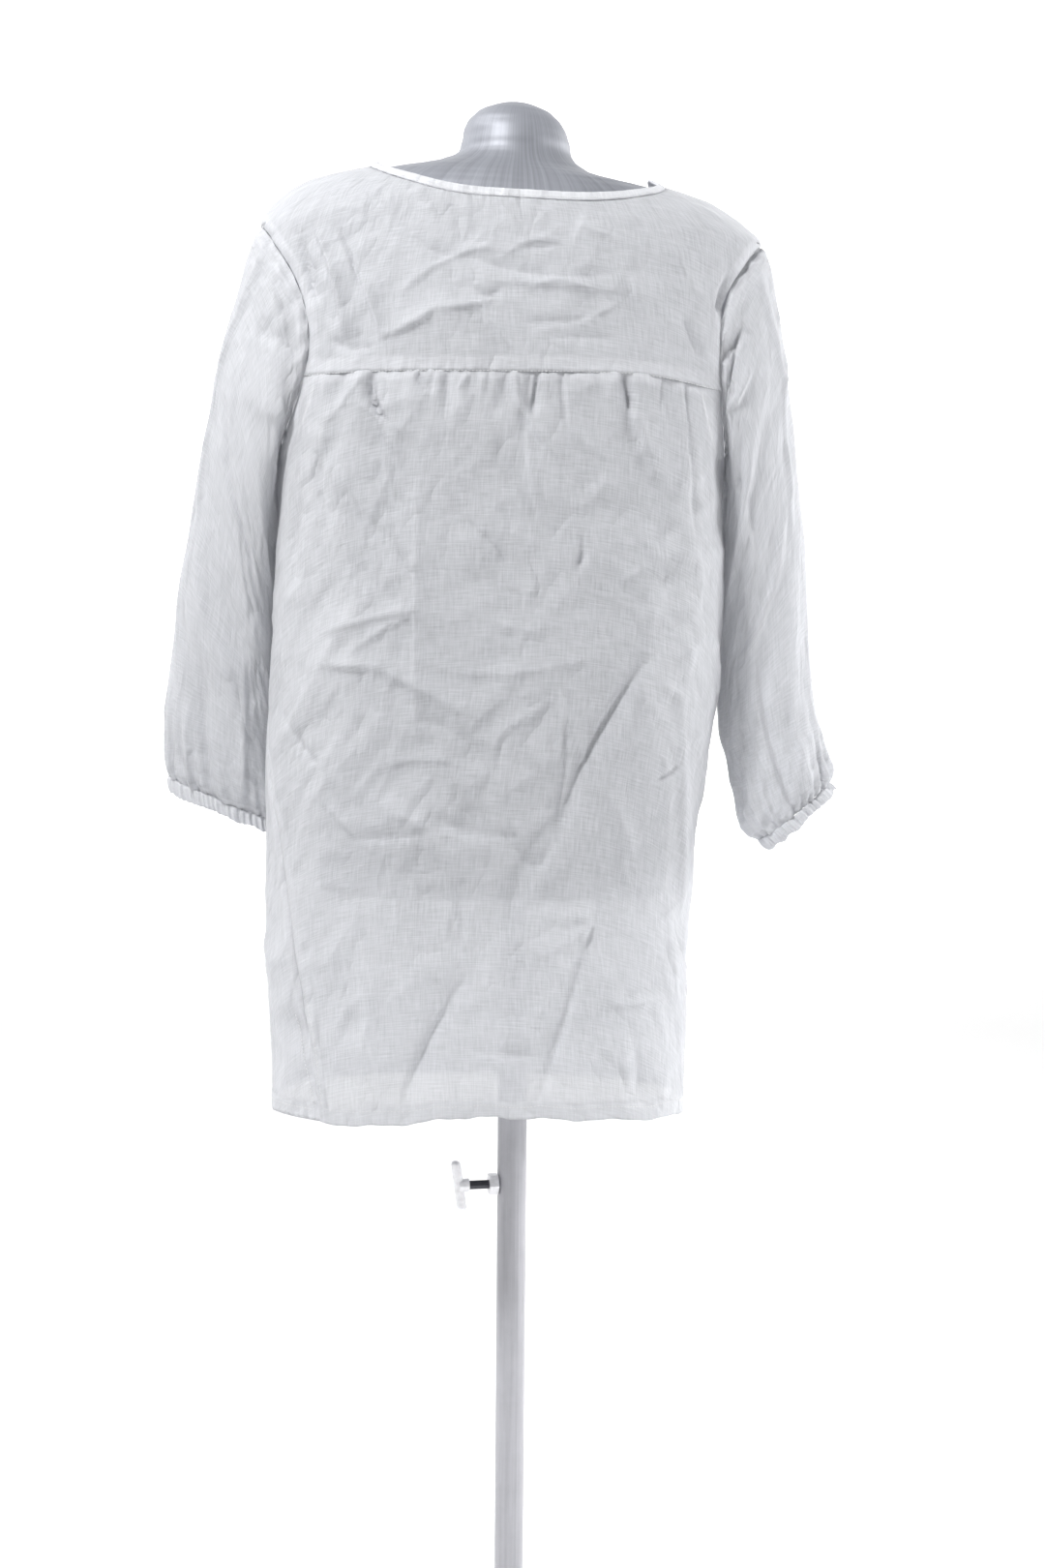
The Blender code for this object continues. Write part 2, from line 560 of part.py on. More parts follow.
def seam_columns():
    """Shares across the back, -1 to 1, with a column on each gather and one or more between."""
    ends = {}
    for side in (-1, 1):
        armhole = ARMHOLES[side]
        place = 2 * YOKE_ARMHOLE_STEPS
        ends[side] = (armhole.loop[place][0], abs(armhole.angle[place]))
    stops = [ends[-1][0]] + [row[0] for row in GATHERS] + [SIDE_FOLD, ends[1][0]]
    across = [stops[0]]
    for start, end in zip(stops, stops[1:]):
        steps = max(2, math.ceil((end - start) / COLUMN_STEP))
        across.extend(start + (end - start) * (step + 1) / steps for step in range(steps))
    local = np.array(across) - BLOUSE.read("centre_x", YOKE_SEAM)
    power = BLOUSE.read("squareness", YOKE_SEAM)
    share = np.abs(local) / BLOUSE.read("half_width", YOKE_SEAM)
    back = BLOUSE.read("back_depth", YOKE_SEAM) * (1 - share ** power) ** (1 / power)
    angle = np.degrees(np.arctan2(local, back))
    limit = np.where(angle < 0, ends[-1][1], ends[1][1])
    columns = angle / limit
    columns[0], columns[-1] = -1.0, 1.0
    return columns


def side_weight(columns, rows_down):
    """How far each place takes the level of its side, from 0 at the centre to 1 at the side."""
    shifted = columns - NECK_SHIFT * (1 - columns ** 2) * (1 - rows_down)
    curve = NECK_CURVE + (SEAM_CURVE - NECK_CURVE) * rows_down
    return np.abs(np.sin(np.radians(90 * shifted))) ** curve


def torso_grid(half, columns, side_rows, centre_heights, rows_down):
    """Angles and ring heights of a torso piece; side_rows holds (span, height) for each side."""
    left, right = (np.array(side_rows[side]) for side in (-1, 1))
    negative = columns < 0
    span = np.where(negative, left[:, 0:1], right[:, 0:1])
    side_height = np.where(negative, left[:, 1:2], right[:, 1:2])
    centre = np.array(centre_heights)[:, None]
    height = centre + (side_height - centre) * side_weight(columns, rows_down)
    angle = columns * span if half == "back" else 180 - columns * span
    return angle, height


def side_column(side, half, first, last):
    """Armhole places for rows first to last of a torso piece's side, as (span, height)."""
    armhole = ARMHOLES[side]
    places = armhole.torso_vertices(half)[first:last + 1]
    span = np.abs(armhole.angle[places])
    if half == "front":
        span = 180 - span
    return list(zip(span, armhole.height[places]))


def seam_span(side, half, heights):
    """Degrees from a piece's centre line to its side seam or vent edge."""
    name = "left" if side < 0 else "right"
    seam = smooth_value(column(SEAM_COLUMNS, SIDE_SEAMS, "height"),
                        column(SEAM_COLUMNS, SIDE_SEAMS, name), heights)
    vent = smooth_value(column(VENT_COLUMNS, VENTS, "height"),
                        column(VENT_COLUMNS, VENTS, name + "_" + half), heights)
    return (seam if half == "back" else 180 - seam) - vent


def shoulder_rows(side, half, last):
    """Span and height down a side: along the shoulder seam, then down the armhole."""
    return [(90.0, level) for level in SHOULDER_ROWS] + side_column(side, half, 0, last)


def torso_wall(name, half, grid, offset, armhole_rows, thickness=None):
    """Build a torso piece; armhole_rows is (row, place) of its first and last armhole vertices."""
    angle, height = grid
    base = BLOUSE.point(angle, height)
    normal = BLOUSE.normal(angle, height)
    direction = normal * CLOTH / 2 if thickness is None else normal * thickness[:, None, None] / 2
    middle = base + normal * offset[..., None]
    pull = np.zeros_like(base)
    pull[0] += seam_step(np.gradient(base[0], axis=0), normal[0], base[1] - base[0])
    if name == "back_yoke":
        pull[-1] += seam_step(np.gradient(base[-1], axis=0), normal[-1], base[-2] - base[-1])
    row, place = armhole_rows
    count = min(ARMHOLE_STEPS - place, len(angle) - 1 - row) + 1
    for side, edge, inside in ((-1, 0, 1), (1, -1, -2)):
        armhole = ARMHOLES[side]
        places = armhole.torso_vertices(half)[place:place + count]
        rows = np.arange(row, row + count)
        for seam in (slice(0, row + 1), slice(row + count - 1, len(base))):
            if len(base[seam]) > 1:
                line = base[seam, edge]
                pull[seam, edge] += seam_step(np.gradient(line, axis=0), normal[seam, edge],
                                              base[seam, inside] - line)
        pull[rows, edge] -= armhole.pull[places]
        middle[rows, edge] = base[rows, edge]
        direction[rows, edge] = armhole.shared[places] * armhole.reach[places][:, None]
    wall(name, middle + pull + direction, middle + pull - direction, "linen", closed=False)
    return pull[0]


def build_back_yoke(columns):
    """Upper back, from the neckline down to the yoke seam."""
    side_rows = {side: shoulder_rows(side, "back", YOKE_ARMHOLE_STEPS) for side in (-1, 1)}
    levels = np.mean([[row[1] for row in side_rows[side]] for side in (-1, 1)], axis=0)
    share = (levels - levels[-1]) / (levels[0] - levels[-1])
    centre = YOKE_SEAM + share * (NECK_POINT - BACK_NECK_DROP - YOKE_SEAM)
    grid = torso_grid("back", columns, side_rows, centre, smooth_step(1 - share)[:, None])
    base = BLOUSE.point(*grid)
    calm = smooth_step((base[..., 2] - YOKE_SEAM) / YOKE_FADE)
    offset = fold_offset(base, YOKE_FOLDS) * calm
    offset[0] = 0.0
    pull = torso_wall("back_yoke", "back", grid, offset, (len(SHOULDER_ROWS), 0))
    return grid[0][0], grid[1][0], pull


def build_back_panel(columns):
    """Gathered back, from the yoke seam down to the hem."""
    side_rows = {side: side_column(side, "back", YOKE_ARMHOLE_STEPS, ARMHOLE_STEPS) for side in (-1, 1)}
    armhole_levels = np.mean([[row[1] for row in side_rows[side]] for side in (-1, 1)], axis=0)
    share = (armhole_levels[0] - armhole_levels) / (armhole_levels[0] - UNDERARM)
    centre = list(YOKE_SEAM - share * (YOKE_SEAM - UNDERARM))
    for side in (-1, 1):
        side_rows[side] += [(float(seam_span(side, "back", level)), level) for level in PANEL_ROWS]
    centre += list(PANEL_ROWS)
    angle, height = torso_grid("back", columns, side_rows, centre, 1.0)
    spans = np.where(columns < 0, seam_span(-1, "back", HEM_LEVEL), seam_span(1, "back", HEM_LEVEL))
    across = columns * spans
    hem = smooth_value(column(HEM_COLUMNS, BACK_HEM, "angle"), column(HEM_COLUMNS, BACK_HEM, "height"),
                       across)
    corner = smooth_step((np.abs(columns) - 1 + HEM_CORNER_SHARE) / HEM_CORNER_SHARE)
    angle = np.vstack([angle, across, across])
    height = np.vstack([height, hem + HEM_DEPTH, hem + HEM_CORNER_LIFT * corner])
    base = BLOUSE.point(angle, height)
    below_seam = np.maximum(height[0] - height, 0.0)
    folds = fold_offset(base, BACK_FOLDS) * smooth_step(below_seam / PANEL_FADE)
    offset = gather_offset(base, below_seam) + folds
    side_calm = smooth_step((1 - np.abs(columns)) / BACK_SIDE_FADE)
    offset *= np.where(height > VENT_TOP, side_calm, 1.0)
    thickness = np.full(len(angle), CLOTH)
    thickness[-2:] = HEM_THICKNESS
    torso_wall("back_panel", "back", (angle, height), offset, (0, YOKE_ARMHOLE_STEPS), thickness)


def build_front_panel():
    """Plain front in one piece, from the neckline and shoulders down to the hem."""
    columns = np.linspace(-1, 1, FRONT_COLUMNS + 1)
    side_rows = {side: shoulder_rows(side, "front", ARMHOLE_STEPS) for side in (-1, 1)}
    levels = np.array([row[1] for row in side_rows[1]])
    share = (levels - UNDERARM) / (NECK_POINT - UNDERARM)
    centre = list(UNDERARM + share * (NECK_POINT - FRONT_NECK_DROP - UNDERARM))
    hem_rows = [FRONT_HEM + HEM_DEPTH, FRONT_HEM]
    for side in (-1, 1):
        side_rows[side] += [(float(seam_span(side, "front", level)), level)
                            for level in list(PANEL_ROWS) + hem_rows]
    centre += list(PANEL_ROWS) + hem_rows
    rows_down = smooth_step((centre[0] - np.array(centre)) / (centre[0] - UNDERARM))[:, None]
    grid = torso_grid("front", columns, side_rows, centre, rows_down)
    base = BLOUSE.point(*grid)
    side_calm = smooth_step((1 - np.abs(columns)) / FRONT_SIDE_FADE)
    calm = side_calm * smooth_step((FRONT_FOLD_TOP - grid[1]) / FRONT_FOLD_FADE)
    offset = fold_offset(base, FRONT_FOLDS) * calm
    from_back_centre = 360 - grid[0]
    vent_angle = float(seam_span(-1, "back", VENT_TOP))
    near_vent = smooth_step((vent_angle + VENT_TUCK_ANGLE - from_back_centre) / VENT_TUCK_ANGLE)
    offset -= VENT_TUCK * near_vent * smooth_step((VENT_TOP - grid[1]) / VENT_TUCK_RISE)
    thickness = np.full(len(grid[0]), CLOTH)
    thickness[-2:] = HEM_THICKNESS
    pull = torso_wall("front_panel", "front", grid, offset, (len(SHOULDER_ROWS), 0), thickness)
    return grid[0][0], grid[1][0], pull


def build_neck_binding(back_edge, front_edge):
    """Folded binding that stands on the neckline edge of the yoke and the front."""
    angle = np.concatenate([back_edge[0], front_edge[0][::-1][1:-1]])
    height = np.concatenate([back_edge[1], front_edge[1][::-1][1:-1]])
    pull = np.concatenate([back_edge[2], front_edge[2][::-1][1:-1]])
    base, normal = BLOUSE.point(angle, height), BLOUSE.normal(angle, height)
    away = unit(seam_step(around(base), normal, -pull))
    outer, inner = [], []
    for share, plump in ((0.0, BINDING_EDGE), (0.5, 1.0), (1.0, BINDING_EDGE)):
        points = base + away * (BINDING_GAP + share * BINDING_WIDTH)
        outer.append(points + normal * BINDING_THICKNESS * plump / 2)
        inner.append(points - normal * BINDING_THICKNESS * plump / 2)
    wall("neck_binding", outer, inner, "linen", closed=True)


def build_sleeve(side, name):
    """Set-in sleeve from the armhole seam to the cuff seam."""
    armhole = ARMHOLES[side]
    outer, inner = [], []
    for number, (ring, normal) in enumerate(zip(armhole.rings, armhole.normals)):
        direction = normal * CLOTH / 2
        if number == 0:
            ring = ring + armhole.pull
            direction = armhole.shared * armhole.reach[:, None]
        if number == len(armhole.rings) - 1:
            ring = ring - armhole.cuff_pull
        step = 1 if number >= SLEEVE_FINE_FROM else 2
        outer.append((ring + direction)[::step])
        inner.append((ring - direction)[::step])
    wall(name, outer, inner, "linen", closed=True)


def build_cuff(side, name):
    """Narrow casing gathered over elastic."""
    armhole = ARMHOLES[side]
    start, normal = armhole.rings[-1], armhole.normals[-1]
    end = armhole.section(CUFF_ENDS[side])
    wave = np.where(np.arange(len(start)) % 2 == 0, 1.0, -1.0)[:, None]
    end = end + unit(end - end.mean(axis=0)) * wave * CUFF_WAVE
    outer, inner = [], []
    for share, plump in ((0.0, CUFF_EDGE), (0.3, 1.0), (0.7, 1.0), (1.0, CUFF_EDGE)):
        ring = start + armhole.cuff_pull + (end - start) * share
        outer.append(ring + normal * CUFF_THICKNESS * plump / 2)
        inner.append(ring - normal * CUFF_THICKNESS * plump / 2)
    wall(name, outer, inner, "linen", closed=True)


def build_form_shell():
    """Smooth hollow torso with a domed neck cap and an open bottom."""
    angle = np.arange(FORM_COLUMNS) * 360 / FORM_COLUMNS
    shape = bmesh.new()
    rims, crowns = [], []
    for inset in (0.0, FORM_WALL):
        rows = []
        for level in FORM.knots:
            height = np.full(FORM_COLUMNS, level)
            points = FORM.point(angle, height) - FORM.normal(angle, height) * inset
            rows.append([shape.verts.new(point) for point in points])
        for first, second in zip(rows, rows[1:]):
            join_rows(shape, first, second, True)
        top = shape.verts.new((FORM_TOP[0], FORM_TOP[1], FORM_TOP[2] - inset))
        for place in range(FORM_COLUMNS):
            shape.faces.new((rows[-1][place], rows[-1][(place + 1) % FORM_COLUMNS], top))
        rims.append(rows[0])
        crowns.append(top)
    join_rows(shape, rims[0], rims[1], True)
    add_object("form_shell", shape, "form_grey")


def circle(radius, height, sides=TUBE_SIDES, centre=(0.0, 0.0)):
    """Points round a level circle."""
    turn = np.arange(sides) * 2 * math.pi / sides
    return np.stack([centre[0] + radius * np.cos(turn), centre[1] + radius * np.sin(turn),
                     np.full(sides, height)], axis=-1)


def build_form_plate():
    """Board that closes the form's bottom, with the hole for the mast."""
    sides = 2 * FORM_COLUMNS
    angle = np.arange(sides) * 360 / sides
    level = np.full(sides, PLATE_BOTTOM)
    rim = FORM.point(angle[::2], level[::2]) - FORM.normal(angle[::2], level[::2]) * (FORM_WALL + SEAM_GAP)
    between = (rim + np.roll(rim, -1, axis=0)) / 2
    outline = np.stack([rim, between], axis=1).reshape(-1, 3)
    hole = circle(MAST_RADIUS + SEAM_GAP, PLATE_BOTTOM, sides)
    hole = np.roll(hole, sides // 4, axis=0)
    lift = np.array([0, 0, PLATE_THICKNESS])
    wall("form_plate", [outline, outline + lift], [hole, hole + lift], "bottom_board", closed=True)


def build_tube(name, radius, bore, bottom, top, finish, sides=TUBE_SIDES):
    """Round tube, ring or disc with a hole."""
    return wall(name, [circle(radius, bottom, sides), circle(radius, top, sides)],
                [circle(bore, bottom, sides), circle(bore, top, sides)], finish, closed=True)


def clamp_frame():
    """Empty on the pole's axis whose X axis is the clamp screw's axis, pointing outward."""
    frame = bpy.data.objects.new("clamp_frame", None)
    frame.location = (0.0, 0.0, CLAMP_HEIGHT)
    frame.rotation_euler = (0.0, 0.0, math.pi + CLAMP_TURN)
    bpy.context.collection.objects.link(frame)
    return frame


def clamp_circle(radius, distance, sides=CLAMP_SIDES):
    """Points round the clamp screw's axis, at a distance from the pole's axis."""
    turns = np.arange(sides) * 2 * math.pi / sides
    return [(distance, radius * math.cos(turn), radius * math.sin(turn)) for turn in turns]


def solid_from_rows(rows):
    """Closed bmesh through rings of vertices, with flat ends."""
    shape = bmesh.new()
    made = [[shape.verts.new(point) for point in row] for row in rows]
    for first, second in zip(made, made[1:]):
        join_rows(shape, first, second, True)
    shape.faces.new(made[0])
    shape.faces.new(made[-1])
    return shape


def clamp_rod(name, radius, start, end, finish, frame):
    """Round rod along the clamp screw's axis."""
    rows = [clamp_circle(radius, start), clamp_circle(radius, end)]
    return add_object(name, solid_from_rows(rows), finish, frame)


def cut(target, cutter, operation="DIFFERENCE"):
    """Add a Boolean with a hidden cutter to an object."""
    cutter.hide_render = True
    cutter.display_type = "WIRE"
    boolean = target.modifiers.new("cut", "BOOLEAN")
    boolean.operation = operation
    boolean.solver = "EXACT"
    boolean.object = cutter


def build_clamp(frame):
    """Nut on the pole, and the screw with its T handle."""
    hexagon = []
    for step in range(NUT_SIDES):
        turn = 2 * math.pi * step / NUT_SIDES
        reach = NUT_FLATS / 2 / math.cos(turn % math.radians(60) - math.radians(30))
        hexagon.append((reach * math.cos(turn), reach * math.sin(turn)))
    ends = (POLE_RADIUS + SEAM_GAP, POLE_RADIUS + SEAM_GAP + NUT_THICKNESS)
    outer = [[(distance, *spot) for spot in hexagon] for distance in ends]
    inner = [clamp_circle(SCREW_RADIUS + SEAM_GAP, distance, NUT_SIDES) for distance in ends]
    wall("clamp_nut", outer, inner, "bright_steel", True, frame)

    tip = MAST_RADIUS + SEAM_GAP
    screw = [clamp_circle(SCREW_RADIUS - SCREW_CHAMFER, tip),
             clamp_circle(SCREW_RADIUS, tip + SCREW_CHAMFER), clamp_circle(SCREW_RADIUS, SCREW_END)]
    add_object("clamp_screw", solid_from_rows(screw), "dark_steel", frame)

    rows = []
    for share, thickness in HANDLE_PROFILE:
        up = share * HANDLE_LENGTH / 2
        centre = (HANDLE_CENTRE + up * math.sin(HANDLE_LEAN), 0.0)
        rows.append(circle(HANDLE_RADIUS * thickness, up * math.cos(HANDLE_LEAN), CLAMP_SIDES, centre))
    handle = add_object("clamp_handle", solid_from_rows(rows), "bright_steel", frame)
    hub = clamp_rod("handle_hub", HUB_RADIUS, HUB_START, HANDLE_CENTRE, "bright_steel", frame)
    cut(handle, hub, "UNION")
    bore = clamp_rod("handle_bore", SCREW_RADIUS + SEAM_GAP, HUB_START - CUT_EXTRA, HUB_FLOOR,
                     "bright_steel", frame)
    cut(handle, bore)


def build_stand(frame):
    """Foot, socket, pole with the screw's hole, mast and the collar that carries the form."""
    socket_bottom = BASE_THICKNESS + SEAM_GAP
    build_tube("base_socket", SOCKET_RADIUS, POLE_RADIUS + SEAM_GAP, socket_bottom,
               socket_bottom + SOCKET_HEIGHT, "pole_paint")
    pole = build_tube("stand_tube", POLE_RADIUS, POLE_BORE, socket_bottom, POLE_TOP, "pole_paint")
    cut(pole, clamp_rod("pole_hole", SCREW_RADIUS + SEAM_GAP, POLE_BORE / 2, POLE_RADIUS * 1.5,
                        "pole_paint", frame))
    build_tube("mast_tube", MAST_RADIUS, MAST_BORE, MAST_BOTTOM, MAST_TOP, "bright_steel")
    flange_top = PLATE_BOTTOM - SEAM_GAP
    build_tube("mast_flange", FLANGE_RADIUS, MAST_RADIUS + SEAM_GAP, flange_top - FLANGE_THICKNESS,
               flange_top, "dark_steel")

    outline = []
    inner_half = BASE_SIDE / 2 - BASE_CORNER
    for quarter, (x_sign, y_sign) in enumerate(((1, 1), (-1, 1), (-1, -1), (1, -1))):
        for step in range(BASE_CORNER_STEPS + 1):
            turn = math.radians(90) * (quarter + step / BASE_CORNER_STEPS)
            outline.append((x_sign * inner_half + BASE_CORNER * math.cos(turn),
                            y_sign * inner_half + BASE_CORNER * math.sin(turn)))
    shrink = 1 - 2 * BASE_EDGE / BASE_SIDE
    rows = [[(x * scale, y * scale, height) for x, y in outline]
            for scale, height in ((shrink, 0.0), (1.0, BASE_EDGE), (1.0, BASE_THICKNESS - BASE_EDGE),
                                  (shrink, BASE_THICKNESS))]
    add_object("base_plate", solid_from_rows(rows), "pole_paint")


for old in list(bpy.data.objects):
    bpy.data.objects.remove(old, do_unlink=True)

ARMHOLES = {side: Armhole(side) for side in (-1, 1)}


def main():
    columns = seam_columns()
    back_edge = build_back_yoke(columns)
    build_back_panel(columns)
    front_edge = build_front_panel()
    build_neck_binding(back_edge, front_edge)
    for side, word in ((-1, "left"), (1, "right")):
        build_sleeve(side, "sleeve_" + word)
        build_cuff(side, "cuff_" + word)
    build_form_shell()
    build_form_plate()
    frame = clamp_frame()
    build_stand(frame)
    build_clamp(frame)


main()
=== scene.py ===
"""Linen tunic blouse on a limbless dress form: cloth, form, stand, stage and camera.

Metres, +Z up. The back of the blouse faces -Y and +X is its right-hand side as seen from behind.
Angles round the body start at the centre back, so 90 degrees is the right side and 180 degrees
the centre front. Every cloth piece is a thin double shell on its solid's form.
"""

import math

import bpy
import numpy as np
from bpy.props import FloatProperty, FloatVectorProperty, PointerProperty
from mathutils import Matrix, Vector


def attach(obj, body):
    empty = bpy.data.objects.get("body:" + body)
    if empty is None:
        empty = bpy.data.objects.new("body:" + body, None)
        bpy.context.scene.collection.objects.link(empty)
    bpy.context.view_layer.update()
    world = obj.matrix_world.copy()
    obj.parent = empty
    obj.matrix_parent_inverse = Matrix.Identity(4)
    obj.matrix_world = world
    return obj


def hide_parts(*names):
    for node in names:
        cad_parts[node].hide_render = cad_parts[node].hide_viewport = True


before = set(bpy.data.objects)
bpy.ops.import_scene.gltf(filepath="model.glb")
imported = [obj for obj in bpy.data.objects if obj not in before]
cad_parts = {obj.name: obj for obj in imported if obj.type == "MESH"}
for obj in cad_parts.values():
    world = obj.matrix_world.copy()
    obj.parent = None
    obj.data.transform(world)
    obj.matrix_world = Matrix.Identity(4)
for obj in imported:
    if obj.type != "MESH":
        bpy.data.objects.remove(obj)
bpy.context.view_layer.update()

bl_info = {
    "name": "Linen Tunic on Dress Form",
    "version": (1, 0, 0),
    "blender": (4, 5, 0),
    "location": "View3D > Sidebar > Tunic",
    "description": "Builds the cloth, dress form finish, stand finish and stage of a linen tunic",
    "category": "Add Mesh",
}

# Levels of the blouse, before the tilt of the shoulders
NECK_POINT = 1.4708
SHOULDER_TIP = 1.4178
YOKE_SEAM = 1.2915
UNDERARM = 1.2220
BACK_NECK_DROP = 0.0325
FRONT_NECK_DROP = 0.0830
NECK_CURVE, SEAM_CURVE = 4.5, 14.0
NECK_SHIFT = 0.09
YOKE_DROP = {-1: 0.0015, 1: 0.0095}
ARMHOLE_BACK = {-1: 0.079, 1: 0.067}
ARMHOLE_FRONT = 0.074
ARMHOLE_ROUNDNESS = 0.9
HEM_DEPTH = 0.014
VENT_TOP = 0.750
VENT_TUCK, VENT_TUCK_ANGLE, VENT_TUCK_RISE = 0.0065, 22.0, 0.03
BINDING_WIDTH, BINDING_THICKNESS, CASING_ROUNDNESS = 0.0068, 0.0026, 0.6
# The binding's reach past the neckline and its width, where its stitches run, and how far it is smoothed
BINDING_BELOW, BINDING_ABOVE, BINDING_STITCHES_UP, BINDING_STITCHES_OUT = 0.0008, 0.0003, 0.0014, 0.42
BINDING_AWAY_STEPS, BINDING_NORMAL_STEPS = 9, 5
# Casing of the cuffs and wall of the form
CUFF_THICKNESS = 0.0034
FORM_WALL = 0.003

# Rings of the blouse, by the middle of the cloth: squareness 2 is an ellipse
RING_COLUMNS = ("height", "centre_x", "half_width", "back_depth", "front_depth", "squareness", "tilt")
BLOUSE_RINGS = (
    (0.630, -0.0300, 0.1842, 0.130, 0.120, 2.60, 0.0),
    (0.768, -0.0338, 0.1862, 0.127, 0.119, 2.60, 0.0),
    (0.820, -0.0344, 0.1870, 0.126, 0.119, 2.60, 0.0),
    (0.900, -0.0308, 0.1910, 0.124, 0.119, 2.60, 0.0),
    (1.030, -0.0184, 0.1986, 0.122, 0.121, 2.60, 0.0),
    (1.200, -0.0155, 0.1950, 0.122, 0.129, 2.60, 0.0),
    (1.300, -0.0100, 0.2030, 0.118, 0.118, 2.50, 0.0),
    (1.350, -0.0105, 0.2105, 0.114, 0.108, 2.40, 0.3),
    (1.375, -0.0110, 0.2150, 0.110, 0.102, 2.35, 0.7),
    (1.400, -0.0095, 0.2195, 0.105, 0.096, 2.30, 1.2),
    (1.4178, -0.0077, 0.2196, 0.101, 0.092, 2.25, 1.7),
    (1.4297, -0.0088, 0.2111, 0.098, 0.089, 2.20, 2.1),
    (1.4397, -0.0096, 0.2004, 0.095, 0.086, 2.20, 2.5),
    (1.4479, -0.0093, 0.1881, 0.092, 0.083, 2.15, 2.8),
    (1.4544, -0.0087, 0.1749, 0.089, 0.081, 2.15, 2.9),
    (1.4631, -0.0077, 0.1466, 0.084, 0.077, 2.10, 3.0),
    (1.4674, -0.0070, 0.1324, 0.081, 0.074, 2.10, 3.0),
    (1.4736, -0.0061, 0.1191, 0.077, 0.070, 2.10, 3.0),
    (1.4800, -0.0055, 0.1060, 0.073, 0.066, 2.10, 3.0),
)

# Side seams, in degrees from the centre back, and how far each vent edge leaves them
SEAM_COLUMNS = ("height", "left", "right")
SIDE_SEAMS = (
    (0.630, 51.5, 90.0),
    (0.750, 57.5, 90.0),
    (0.890, 68.0, 90.0),
    (1.030, 88.0, 90.0),
    (1.222, 90.0, 90.0),
)
VENT_COLUMNS = ("height", "left_back", "left_front", "right_back", "right_front")
VENTS = (
    (0.630, 0.5, -2.0, 6.0, 5.0),
    (0.692, 0.4, -0.6, 2.2, 2.2),
    (0.722, 0.4, 0.6, 0.8, 0.8),
    (0.750, 0.0, 0.0, 0.0, 0.0),
)

# Hem of the back, by angle from the centre back
HEM_COLUMNS = ("angle", "height")
BACK_HEM = (
    (-90.0, 0.6400),
    (-52.0, 0.6480),
    (-38.0, 0.6490),
    (0.0, 0.6595),
    (38.0, 0.6560),
    (60.0, 0.6510),
    (90.0, 0.6445),
)
HEM_LEVEL = 0.6550
HEM_TURN = 0.692
FRONT_HEM = 0.6470
HEM_RIPPLES = ((0.0010, 0.31, 0.0), (0.0003, 0.83, 1.0))

# Gathers under the yoke seam: place and drift across, length down, half width and depth
GATHER_COLUMNS = ("across", "drift", "length", "half_width", "depth")
GATHERS = (
    (-0.1484, -0.010, 0.085, 0.0060, 0.0045),
    (-0.1232, 0.020, 0.110, 0.0060, 0.0050),
    (-0.0770, 0.004, 0.040, 0.0055, 0.0040),
    (-0.0600, -0.002, 0.060, 0.0055, 0.0040),
    (-0.0113, 0.000, 0.050, 0.0055, 0.0045),
    (0.0057, 0.006, 0.115, 0.0060, 0.0055),
    (0.0382, 0.004, 0.060, 0.0060, 0.0045),
    (0.0682, 0.000, 0.040, 0.0055, 0.0035),
    (0.0868, 0.022, 0.105, 0.0060, 0.0055),
    (0.1258, 0.002, 0.080, 0.0055, 0.0035),
)
GATHER_WIDEN, GATHER_LEAST, GATHER_START = 0.9, 0.15, 0.009
GATHER_PUFF, GATHER_PUFF_LENGTH = 0.0028, 0.130
GATHERED_CENTRE, GATHERED_HALF_WIDTH, GATHERED_FADE = -0.008, 0.185, 0.03
SMALL_GATHERS, SMALL_GATHER_ENDS = 34, (-0.165, 0.15)
SMALL_GATHER_RANGES = ((-0.004, 0.004), (-0.006, 0.008), (0.012, 0.070), (0.0018, 0.0030), (0.0009, 0.0028))

# Folds and creases, each a curve through three places in X and Z, then its half width, depth and lean;
# a negative depth is a trough, and the lean makes one flank steeper than the other
BACK_FOLDS = (
    (0.1384, 1.1128, 0.0640, 0.9720, -0.0321, 0.8041, 0.012, -0.0045, 0.3),
    (-0.0250, 0.8150, -0.0600, 0.7450, -0.0917, 0.6681, 0.015, -0.0040, 0.2),
    (0.1500, 1.0900, 0.0880, 0.9650, 0.0050, 0.8200, 0.015, 0.0035, 0.0),
    (0.0794, 0.8548, 0.0400, 0.7400, 0.0186, 0.6690, 0.013, -0.0035, -0.3),
    (0.1395, 1.2800, 0.1415, 1.1600, 0.1460, 1.0100, 0.010, 0.0045, 0.3),
    (-0.0853, 1.1958, -0.0840, 1.0860, -0.0841, 0.9763, 0.013, 0.0025, 0.0),
    (-0.0248, 1.2527, 0.0050, 1.1950, 0.0304, 1.1548, 0.010, -0.0030, 0.2),
    (-0.1743, 1.0442, -0.1250, 1.0440, -0.0828, 1.0270, 0.012, 0.0030, 0.4),
    (-0.2050, 1.0300, -0.1930, 0.9350, -0.1880, 0.8400, 0.015, -0.0035, 0.0),
    (-0.1250, 0.9350, -0.0700, 0.9050, -0.0165, 0.8900, 0.014, 0.0025, 0.0),
)
